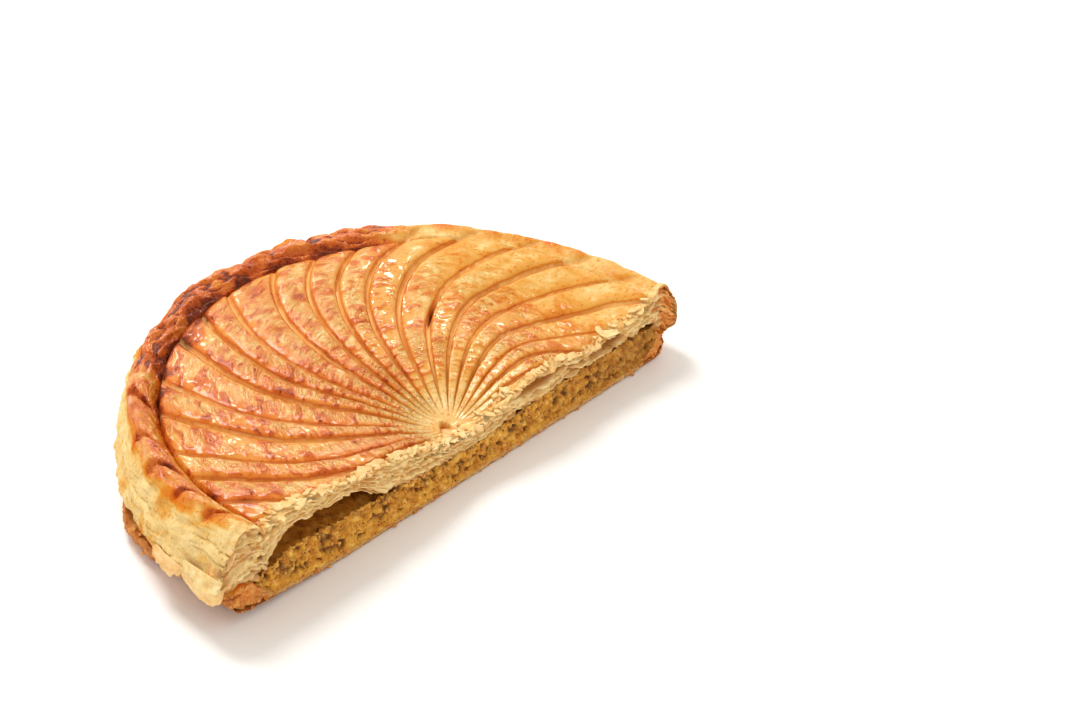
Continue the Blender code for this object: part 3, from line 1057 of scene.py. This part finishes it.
def make_base_section(edge_points):
    """The base's cut face, a thin band of pressed leaves along the bottom."""
    edge_x = edge_points[:, 0]
    x = np.linspace(edge_x.min() + 0.3 * MM, edge_x.max() - 0.3 * MM, 620)[:, None]
    down = even_steps(14)
    radius, angle = polar(x, CUT_Y)
    lift = lean(radius, angle)
    rounded = smooth(0.945, 0.97, radius / RADIUS)
    top = base_top(radius, angle) + lift - 1.5 * MM * rounded
    bottom = lift + 2.5 * MM * smooth(0.93, 0.97, radius / RADIUS)
    z = top + (bottom - top) * down
    face = stacked(x, 0.0, z)
    layers = down * 3 + 0.4 * noise(face, 6 * MM, 81)
    step = layers - np.floor(layers)
    gap = fade(0.1, 0.3, np.minimum(step, 1 - step))
    coarse = smooth(0.8, 0.9, np.abs(x - CENTRE_X) / RADIUS)
    depth = 0.6 * gap + (0.5 + 0.9 * coarse) * (1 + rough(face, 2.5 * MM, 3, 82))
    ragged = 1.3 * smooth(0.7, 1.0, down) * (1 + noise(face, 2.2 * MM, 83))
    front = stacked(x, CUT_Y + (0.5 + depth + ragged) * MM, z)
    back = stacked(x, front[:, ::-1, 1] + 6 * MM, z[:, ::-1])
    toast = beyond(0.80, 0.9, np.abs(x - CENTRE_X))
    return loft("base_leaves", (front, back), depth=(depth, 0), low=(down, down[:, ::-1]),
                toast=(toast, toast))


# ---------------------------------------------------------------- loose bits


class Heap:
    """Many small closed shapes gathered into one mesh."""

    def __init__(self):
        self.points, self.faces, self.painted, self.count = [], [], {}, 0

    def add(self, points, faces, **painted):
        self.points.append(points)
        self.faces += [np.asarray(face) + self.count for face in faces]
        self.count += len(points)
        for key, value in painted.items():
            self.painted.setdefault(key, []).append(np.zeros(len(points)) + value)

    def mesh(self, name):
        painted = {key: np.concatenate(values) for key, values in self.painted.items()}
        return make_mesh(name, np.concatenate(self.points), self.faces, painted)


def unit_grid(rows, columns):
    """Two numbers from 0 to 1 for each point of a grid, one for each way across it."""
    return np.meshgrid(np.linspace(0, 1, rows), np.linspace(0, 1, columns), indexing="ij")


def sheet_solid(surface, thickness):
    """A closed thin plate from a grid of points on its middle surface."""
    rows, columns = surface.shape[:2]
    normal = np.cross(np.gradient(surface, axis=0), np.gradient(surface, axis=1))
    normal /= np.maximum(np.linalg.norm(normal, axis=-1, keepdims=True), 1e-12)
    half = normal * thickness / 2
    points = np.concatenate([(surface + half).reshape(-1, 3), (surface - half).reshape(-1, 3)])
    faces = list(grid_faces(rows, columns))
    size = rows * columns
    faces += [face[::-1] + size for face in grid_faces(rows, columns)]
    index = np.arange(size).reshape(rows, columns)
    rim = np.concatenate([index[0, :-1], index[:-1, -1], index[-1, :0:-1], index[:0:-1, 0]])
    after = np.roll(rim, -1)
    faces += [np.array(quad) for quad in zip(rim, rim + size, after + size, after)]
    return points, faces


def top_height(x, y):
    """Height of the rayed top at one place."""
    return lid_top_shape(np.array([x]), np.array([y]))[0][0]


def flake_surface(random, size, length, bend):
    """A small curled scale of pastry with a torn outline, lying at the origin."""
    u, v = np.meshgrid(np.linspace(-1, 1, 9), np.linspace(-1, 1, 7), indexing="ij")
    turn = np.arctan2(v, u)
    wave = sum(random.uniform(-0.16, 0.16) * np.sin(turn * k + random.uniform(0, TAU))
               for k in (2, 3, 5, 7))
    reach = np.maximum(np.abs(u), np.abs(v)) / np.maximum(np.hypot(u, v), 1e-9)
    reach = 0.5 * (1 + reach) * (1 + wave)
    z = bend * size * (u * u - 0.4) + random.uniform(-0.3, 0.3) * size * u * v
    return stacked(u * reach * size * length, v * reach * size, z)


def turned(points, heading, pitch, roll):
    """Points turned about X, then Y, then Z."""
    matrix = (Matrix.Rotation(heading, 3, "Z") @ Matrix.Rotation(pitch, 3, "Y")
              @ Matrix.Rotation(roll, 3, "X"))
    return points @ np.array(matrix).T


def scatter_flakes(heap):
    """Broken scales of puff pastry lying along the chipped edge of the cut."""
    random = np.random.default_rng(91)
    for _ in range(FLAKE_COUNT):
        x = CENTRE_X + random.uniform(-0.97, 0.86) * RADIUS
        y = CUT_Y + (random.uniform(0.05, 1.0) ** 1.3 * chip_band(x) + 0.7 * MM)
        size = random.uniform(0.7, 1.7) * MM
        surface = flake_surface(random, size, random.uniform(1.0, 2.4), random.uniform(-0.2, 0.35))
        surface = turned(surface, random.normal(0.0, 0.5), random.normal(0.0, 0.16),
                         random.normal(0.1, 0.2))
        place = np.array([x, y, top_height(x, y) + 0.25 * size])
        points, faces = sheet_solid(surface + place, random.uniform(0.22, 0.4) * MM)
        heap.add(points, faces, toast=random.uniform(0, 0.35), depth=0.4, low=0.2)


def wall_radius(height, angle):
    """The lid's outer radius at a height above the table, before its leaves."""
    slope = np.clip((height - LIP_HEIGHT) / (12 * MM), -0.1, 1.4)
    return LIP_RADIUS - slope * 0.033 * RADIUS - rim_inset(angle)


def petal(heap, start, end, low, high, curl, toast):
    """A leaf peeling off the lid's side between two directions and two heights."""
    u, v = unit_grid(26, 16)
    angle = np.radians(start + (end - start) * u)
    spot = stacked(u * 12 * MM, v * 8 * MM, start * MM)
    ragged = noise(spot, 3.4 * MM, 95) * 1.5 * MM + noise(spot, 0.9 * MM, 96) * 1.0 * MM
    height = low + (high - low) * v + ragged * (1 - v) ** 2
    bow = np.clip(np.sin(u * math.pi), 0, 1) ** 0.5
    height = height + (1 - bow) * (1 - v) * 0.97 * (high - low)
    radius = wall_radius(height, angle) - 0.3 * MM + curl * (1 - v) ** 2
    radius = radius + 0.5 * MM * noise(spot, 4 * MM, 97)
    surface = placed(radius, angle, height + lean(radius, angle))
    surface[..., 1] = np.maximum(surface[..., 1], CUT_Y + 0.2 * MM)
    points, faces = sheet_solid(surface, 0.5 * MM)
    heap.add(points, faces, toast=toast, depth=0.3, low=0.1)


def peel_petals(heap):
    """The loose leaves on the lid's side, largest at the cut's -X corner."""
    petal(heap, 175.5, 185.2, 6.0 * MM, 16 * MM, -2.2 * MM, 0.2)
    petal(heap, 168.0, 176.5, 10.5 * MM, 16 * MM, 0.2 * MM, 0.3)
    petal(heap, 176.0, 185.4, 13 * MM, 19 * MM, 0.6 * MM, 0.0)


def stack_ribbons(heap, top_at):
    """Separate leaves of the lid whose torn edges show one above the other at the cut."""
    random = np.random.default_rng(64)
    for _ in range(RIBBON_COUNT):
        length = random.uniform(5, 17) * MM
        start = CENTRE_X + random.uniform(-1.0, 0.93) * RADIUS
        u, v = unit_grid(34, 5)
        x = start + length * u
        top = top_at(x)
        under = lid_roof(x, CUT_Y)
        level = random.uniform(0.08, 0.97)
        middle = (start + length / 2 - CENTRE_X) / RADIUS
        if 0.2 < level < 0.8 and (0.12 < middle < 0.5 or 0.53 < middle < 0.78):
            continue
        height = under + (top - under) * level + random.normal(0, 0.5) * MM * (u - 0.5)
        spot = stacked(x, level, start)
        height = height + 0.35 * MM * noise(spot, 4 * MM, 71) * (1 - v) - 0.5 * MM * v
        jagged = 0.7 * noise(spot, 2.4 * MM, 72) + 0.45 * noise(spot, 0.9 * MM, 73)
        front = 0.5 + 1.32 * np.abs(2 * u - 1) ** 3 + np.clip(jagged + 0.3, 0, 1.4)
        y = CUT_Y + (front * (1 - v) + 5.0 * v) * MM
        points, faces = sheet_solid(stacked(x, y, height), random.uniform(0.25, 0.45) * MM)
        toast = random.uniform(0.0, 0.3) + 0.6 * (start > CENTRE_X + 0.85 * RADIUS)
        heap.add(points, faces, toast=toast, depth=0.5, low=0.2)


def crumb_ball():
    """The points and faces of a ball 1 in radius, which every crumb is shaped from."""
    mesh = bmesh.new()
    bmesh.ops.create_icosphere(mesh, subdivisions=2, radius=1.0)
    points = np.array([vertex.co[:] for vertex in mesh.verts])
    faces = [[vertex.index for vertex in face.verts] for face in mesh.faces]
    mesh.free()
    return points, faces


def scatter_crumbs(heap):
    """Crumbs that cling along the foot of the cut, on its crumb and on the chipped band."""
    random = np.random.default_rng(33)
    ball, faces = crumb_ball()
    for number in range(CRUMB_COUNT):
        x = CENTRE_X + random.uniform(-0.955, 0.955) * RADIUS
        radius, angle = polar(x, CUT_Y)
        lift = lean(radius, angle)
        size = random.uniform(0.25, 0.7) * MM
        if number % 3 == 0:
            place = (x, CUT_Y + random.uniform(0.6, 1.6) * MM, random.uniform(0.5, 3.0) * MM + lift)
            toast = random.uniform(0.5, 1.0)
        elif number % 6 == 1:
            turn = math.radians(random.uniform(146, 184))
            chunk = arc_bump(CHUNK_DIRECTION, CHUNK_HALF_WIDTH, turn)
            reach = 0.962 * RADIUS + 4 * MM * chunk + random.uniform(-0.5, 1.2) * MM
            size = size * 1.5
            place = placed(reach, turn, random.uniform(0.8, 8.0) * MM + lean(reach, turn))
            toast = random.uniform(0.4, 1.0)
        elif number % 6 == 4:
            room = filling_top(radius, angle) - BASE_THICKNESS
            height = BASE_THICKNESS + random.uniform(0.0, 1.0) * room
            place = (x, CUT_Y + random.uniform(0.9, 1.8) * MM, height + lift)
            toast = random.uniform(0.3, 0.9)
        else:
            y = CUT_Y + random.uniform(0.2, 1.0) * chip_band(x) + 0.6 * MM
            place = (x, y, top_height(x, y) + 0.2 * size)
            toast = random.uniform(0.0, 0.4)
        shaped = ball * random.uniform(0.6, 1.3, 3)
        shaped = shaped * (1 + 0.35 * noise(ball + number * 3.7, 0.8, 98))[:, None]
        shaped = turned(shaped, *random.uniform(0, TAU, 3)) * size
        shaped = shaped + np.array(place)
        shaped[:, 2] = np.maximum(shaped[:, 2], 0.05 * MM)
        heap.add(shaped, faces, toast=toast, depth=0.5, low=0.2)


# ---------------------------------------------------------------- materials


def linear(red, green, blue):
    """A screen colour from 0 to 255 as the linear colour that shaders use."""
    scaled = np.array([red, green, blue]) / 255
    low = scaled / 12.92
    high = ((scaled + 0.055) / 1.055) ** 2.4
    return (*np.where(scaled <= 0.04045, low, high), 1.0)


class Shade:
    """A node material under construction, with one short method for each kind of node."""

    def __init__(self, name, **sockets):
        self.material = bpy.data.materials.new(name)
        self.material.use_nodes = True
        self.tree = self.material.node_tree
        self.shader = self.tree.nodes["Principled BSDF"]
        for socket, value in sockets.items():
            self.shader.inputs[socket.replace("_", " ")].default_value = value

    def node(self, kind, inputs=(), **settings):
        """A new node with its settings, its input numbers and its links in place."""
        made = self.tree.nodes.new(kind)
        for key, value in settings.items():
            setattr(made, key, value)
        for socket, value in dict(inputs).items():
            if isinstance(value, bpy.types.NodeSocket):
                self.tree.links.new(value, made.inputs[socket])
            else:
                made.inputs[socket].default_value = value
        return made

    def value(self, name):
        return self.node("ShaderNodeAttribute", attribute_name=name).outputs["Fac"]

    def vector(self, name):
        return self.node("ShaderNodeAttribute", attribute_name=name).outputs["Vector"]

    def place(self):
        return self.node("ShaderNodeTexCoord").outputs["Object"]

    def noise(self, vector, size, detail=2.0, roughness=0.5, distortion=0.0):
        inputs = {"Vector": vector, "Scale": 1 / size, "Detail": detail,
                  "Roughness": roughness, "Distortion": distortion}
        return self.node("ShaderNodeTexNoise", inputs).outputs["Fac"]

    def stretched(self, vector, scale):
        return self.node("ShaderNodeVectorMath", {0: vector, 1: scale},
                         operation="MULTIPLY").outputs["Vector"]

    def math(self, operation, first, second=0.0, clamp=False):
        return self.node("ShaderNodeMath", {0: first, 1: second},
                         operation=operation, use_clamp=clamp).outputs["Value"]

    def span(self, value, low, high, to_low=0.0, to_high=1.0):
        inputs = {"Value": value, "From Min": low, "From Max": high,
                  "To Min": to_low, "To Max": to_high}
        return self.node("ShaderNodeMapRange", inputs,
                         interpolation_type="SMOOTHSTEP").outputs["Result"]

    def ramp(self, value, stops):
        made = self.node("ShaderNodeValToRGB", {"Fac": value})
        elements = made.color_ramp.elements
        while len(elements) < len(stops):
            elements.new(0.5)
        for element, (position, colour) in zip(elements, stops):
            element.position = position
            element.color = linear(*colour)
        return made.outputs["Color"]

    def patches(self, size, detail, roughness, stops):
        """Colours in irregular patches about as wide as size."""
        return self.ramp(self.noise(self.place(), size, detail, roughness), stops)

    def mix(self, factor, first, second):
        if isinstance(second, tuple):
            second = linear(*second)
        inputs = {0: factor, 6: first, 7: second}
        return self.node("ShaderNodeMix", inputs, data_type="RGBA").outputs[2]

    def bump(self, height, distance, strength=1.0, under=None):
        inputs = {"Height": height, "Distance": distance, "Strength": strength}
        if under is not None:
            inputs["Normal"] = under
        return self.node("ShaderNodeBump", inputs).outputs["Normal"]

    def grain(self, size, detail, roughness, distance, strength=0.8, under=None):
        """A fine roughness of the surface."""
        height = self.noise(self.place(), size, detail, roughness)
        return self.bump(height, distance, strength, under)

    def finish(self, **sockets):
        for socket, value in sockets.items():
            self.tree.links.new(value, self.shader.inputs[socket.replace("_", " ")])
        return self.material


BAKED = [
    (0.00, (242, 214, 156)),
    (0.20, (226, 192, 124)),
    (0.34, (217, 160, 74)),
    (0.48, (210, 130, 37)),
    (0.60, (206, 106, 22)),
    (0.73, (188, 82, 14)),
    (0.86, (134, 50, 10)),
    (1.00, (76, 28, 8)),
]
THREAD = [(0.3, (250, 212, 140)), (0.7, (236, 184, 108))]
RAW = [(0.28, (214, 150, 78)), (0.45, (236, 192, 120)), (0.7, (250, 222, 162))]
PALE = [(0.25, (226, 170, 96)), (0.45, (242, 204, 134)), (0.7, (252, 228, 172))]
TAN = [(0.25, (196, 130, 60)), (0.5, (220, 166, 90)), (0.75, (238, 196, 122))]
TOASTED = [(0.3, (202, 106, 32)), (0.5, (230, 146, 62)), (0.7, (246, 188, 108))]
ALMOND = [
    (0.28, (150, 78, 12)), (0.42, (206, 134, 30)), (0.56, (232, 170, 56)), (0.70, (248, 208, 116))]
BASE_RIM = [(0.25, (148, 74, 22)), (0.5, (196, 118, 46)), (0.75, (228, 170, 92))]
BASE_UNDER = [(0.3, (176, 104, 40)), (0.7, (214, 150, 78))]
WHITE = [(0.3, (252, 252, 252)), (0.7, (254, 254, 254))]


def crust_material():
    """Egg-washed puff pastry: golden to burnt, glossy, finely wrinkled on its ridges."""
    shade = Shade("glazed_crust", IOR=1.45, Specular_IOR_Level=0.08, Coat_Roughness=0.055,
                  Coat_IOR=1.45)
    flow = shade.vector("flow")
    place = shade.place()
    wrinkle = shade.value("wrinkle")
    crinkle = shade.noise(shade.stretched(flow, (1.0, 0.45, 1.0)), 1.4 * MM, 3.0, 0.5, 0.8)
    speck = shade.noise(place, 1.2 * MM, 3.0, 0.6)
    cloud = shade.noise(place, 8 * MM, 4.0, 0.6)
    # This value is how brown the crust baked, with painted shade added in the crease, along the
    # grooves and in the border's hollows.
    browning_and_shade = shade.value("browning_and_shade")
    browning_and_shade = shade.math("ADD", browning_and_shade, shade.span(cloud, 0.25, 0.75, -0.06, 0.06))
    spots = shade.noise(shade.stretched(flow, (1.0, 0.7, 1.0)), 3.0 * MM, 3.0, 0.6, 0.8)
    mottled = shade.math("MULTIPLY", shade.span(spots, 0.36, 0.58, 0.11, -0.08), wrinkle)
    browning_and_shade = shade.math("ADD", browning_and_shade, mottled)
    browning_and_shade = shade.math("ADD", browning_and_shade, shade.span(speck, 0.55, 0.66, 0.0, 0.18), clamp=True)
    baked = shade.ramp(browning_and_shade, BAKED)
    thread = shade.ramp(shade.noise(flow, 2.6 * MM), THREAD)
    colour = shade.mix(shade.value("thread"), baked, thread)
    colour = shade.mix(shade.value("raw"), colour, shade.patches(2.0 * MM, 4.0, 0.65, RAW))
    gloss = shade.value("gloss")
    rough_map = shade.math("ADD", shade.span(gloss, 0.0, 1.0, 0.62, 0.34),
                           shade.span(speck, 0.3, 0.7, -0.05, 0.07))
    bumps = shade.bump(crinkle, 1.3 * MM, wrinkle)
    grain = shade.grain(0.7 * MM, 3.0, 0.6, 0.08 * MM, 0.4, bumps)
    coat = shade.math("MULTIPLY", gloss, shade.span(browning_and_shade, 0.45, 0.90, 0.72, 0.26))
    return shade.finish(Base_Color=colour, Roughness=rough_map, Normal=grain,
                        Coat_Weight=coat, Coat_Normal=bumps)


def leaf_material(name, stops, deep):
    """Unglazed baked leaves: cream, with painted shade in the hollows and on the lid's underside,
    and darker towards the bottom of the cut.
    """
    shade = Shade(name, IOR=1.4, Roughness=0.7, Subsurface_Weight=0.12,
                  Subsurface_Radius=(1.0, 0.6, 0.3), Subsurface_Scale=1.2 * MM)
    colour = shade.patches(3.0 * MM, 4.0, 0.62, stops)
    toasted = shade.patches(2.4 * MM, 4.0, 0.62, TOASTED)
    colour = shade.mix(shade.value("toast"), colour, toasted)
    # Painted shade: the deep colour fills the recesses between leaves and the slits, the deeper the
    # darker.
    colour = shade.mix(shade.span(shade.value("depth"), 1.3, 4.2, 0.0, 0.8), colour, deep)
    # Darker towards the bottom of the cut, and painted shade on the lid's underside and the cavity's
    # back.
    colour = shade.mix(shade.span(shade.value("low"), 0.8, 1.0, 0.0, 0.55), colour, deep)
    return shade.finish(Base_Color=colour, Normal=shade.grain(0.8 * MM, 4.0, 0.7, 0.35 * MM))


def filling_material():
    """Moist coarse almond crumb: ochre, with brown skins and pale bits, painted shade in its pores
    and pits, and painted shade under the lid.
    """
    shade = Shade("almond_crumb", IOR=1.4, Roughness=0.62, Subsurface_Weight=0.1,
                  Subsurface_Radius=(1.0, 0.55, 0.2), Subsurface_Scale=1.0 * MM)
    colour = shade.patches(2.8 * MM, 5.0, 0.68, ALMOND)
    specks = shade.span(shade.noise(shade.place(), 1.3 * MM), 0.64, 0.69)
    colour = shade.mix(specks, colour, (128, 54, 16))
    colour = shade.mix(shade.value("rich"), colour, (150, 84, 10))
    # Painted shade: dark brown in the pits and pores, the deeper the darker.
    hollow = shade.span(shade.value("depth"), 1.2, 3.3, 0.0, 0.95)
    colour = shade.mix(hollow, colour, (100, 50, 6))
    # Painted shade on the surfaces that lie under the lid and on the base.
    sheltered = shade.math("MULTIPLY", shade.value("sheltered"), 0.6)
    colour = shade.mix(sheltered, colour, (150, 96, 24))
    return shade.finish(Base_Color=colour, Normal=shade.grain(0.7 * MM, 3.0, 0.65, 0.35 * MM))


def base_material():
    """The base crust: golden brown, rough and crumbly at its edge."""
    shade = Shade("base_crust_brown", IOR=1.4, Roughness=0.75)
    rim = shade.patches(3.5 * MM, 5.0, 0.65, BASE_RIM)
    under = shade.patches(16 * MM, 5.0, 0.55, BASE_UNDER)
    colour = shade.mix(shade.value("edge"), under, rim)
    return shade.finish(Base_Color=colour, Normal=shade.grain(1.0 * MM, 4.0, 0.65, 0.4 * MM))


def floor_material():
    """A plain matte white sweep."""
    shade = Shade("white_floor", Roughness=0.9, Specular_IOR_Level=0.2)
    return shade.finish(Base_Color=shade.patches(0.4, 2.0, 0.5, WHITE))


# ---------------------------------------------------------------- stage, light, camera

LIGHT_DISTANCE = 1.2
LIGHT_TARGET = Vector((CENTRE_X, CENTRE_Y + 0.03, 0.02))
LIGHTS = [
    # name, azimuth, elevation, size, power, and whether it lights matte surfaces too
    ("window", 84, 60, 0.45, 9.7, True),
    ("sheen", 36, 36, 0.17, 3.0, False),
    ("glint", 66, 28, 0.13, 2.8, False),
    ("crest", 52, 54, 0.13, 2.4, False),
    ("flank", 8, 50, 0.13, 2.3, False),
]
CAMERA_TARGET = Vector((0.5115, 0.1441, 0.12)) * RADIUS
CAMERA_TURN, CAMERA_RISE, CAMERA_ROLL = (math.radians(part) for part in (-52.657, 34.164, 4.857))
CAMERA_DISTANCE = 8.2033
CAMERA_LENS = 86.03


def make_floor():
    """A white table under the cake, for the picture only."""
    corners = [(-3, -3, 0), (3, -3, 0), (3, 3, 0), (-3, 3, 0)]
    data = make_mesh("floor", corners, [np.arange(4)])
    data.materials.append(floor_material())
    floor = bpy.data.objects.new("floor", data)
    floor.location.z = -0.1 * MM
    bpy.context.scene.collection.objects.link(floor)


def add_area_light(name, azimuth, elevation, size, power, fills):
    """A square soft box that looks at the cake. Azimuth 0 is +X, and 90 is +Y.

    One that doesn't fill only shows as a reflection in the glaze.
    """
    az, el = math.radians(azimuth), math.radians(elevation)
    towards = Vector((math.cos(az) * math.cos(el), math.sin(az) * math.cos(el), math.sin(el)))
    light = bpy.data.lights.new(name, "AREA")
    light.size = size
    light.energy = power
    light.color = (1.0, 1.0, 1.0) if fills else (1.0, 0.93, 0.80)
    holder = bpy.data.objects.new(name, light)
    holder.location = LIGHT_TARGET + towards * LIGHT_DISTANCE
    holder.rotation_euler = towards.to_track_quat("Z", "Y").to_euler()
    holder.visible_diffuse = fills
    bpy.context.scene.collection.objects.link(holder)


def make_world(strength):
    """Even, slightly warm light from all round."""
    world = bpy.data.worlds.new("studio")
    world.use_nodes = True
    background = world.node_tree.nodes["Background"]
    background.inputs["Color"].default_value = (1.0, 0.97, 0.91, 1.0)
    background.inputs["Strength"].default_value = strength
    bpy.context.scene.world = world


def make_camera():
    """The photograph's view, measured from the middle of the cut at table height."""
    target = Vector((CENTRE_X, CUT_Y, 0.0)) + CAMERA_TARGET
    level = math.cos(CAMERA_RISE)
    back = Vector((math.sin(CAMERA_TURN) * level, -math.cos(CAMERA_TURN) * level,
                   math.sin(CAMERA_RISE)))
    right = (-back).cross(Vector((0, 0, 1))).normalized()
    up = right.cross(-back)
    turned_right = right * math.cos(CAMERA_ROLL) + up * math.sin(CAMERA_ROLL)
    turned_up = up * math.cos(CAMERA_ROLL) - right * math.sin(CAMERA_ROLL)
    camera = bpy.data.cameras.new("camera")
    camera.sensor_width = 36.0
    camera.lens = CAMERA_LENS
    holder = bpy.data.objects.new("camera", camera)
    matrix = Matrix((turned_right, turned_up, back)).transposed().to_4x4()
    matrix.translation = target + back * CAMERA_DISTANCE * RADIUS
    holder.matrix_world = matrix
    bpy.context.scene.collection.objects.link(holder)
    bpy.context.scene.camera = holder


def main():
    top, top_edge = make_lid_top()
    border, border_edge = make_lid_border()
    glazed = crust_material()
    add_piece(top, "golden_crust", glazed, "puff_lid")
    add_piece(border, "golden_crust", glazed, "puff_lid")
    # The last colour is the painted shade in the leaves' hollows and under the lid.
    pale = leaf_material("pale_leaves", PALE, (198, 126, 46))
    leaves, cut_top = make_lid_section(np.concatenate([top_edge, border_edge]))
    add_piece(leaves, "golden_crust", pale, "puff_lid")
    add_piece(make_filling(), "almond_filling", filling_material(), "frangipane")
    base, base_edge = make_base()
    add_piece(base, "pale_crust", base_material(), "puff_base")
    # The last colour is the painted shade in the base leaves' hollows.
    tan = leaf_material("tan_leaves", TAN, (168, 90, 26))
    add_piece(make_base_section(base_edge), "pale_crust", tan, "puff_base")
    flakes, crumbs = Heap(), Heap()
    scatter_flakes(flakes)
    peel_petals(flakes)
    stack_ribbons(flakes, lambda x: np.interp(x, *cut_top))
    scatter_crumbs(crumbs)
    add_piece(flakes.mesh("pastry_flakes"), "golden_crust", pale)
    add_piece(crumbs.mesh("crumbs"), "pale_crust", tan)

    make_floor()
    make_world(0.86)
    for light in LIGHTS:
        add_area_light(*light)
    make_camera()
    bpy.context.scene.view_settings.view_transform = "Standard"


main()
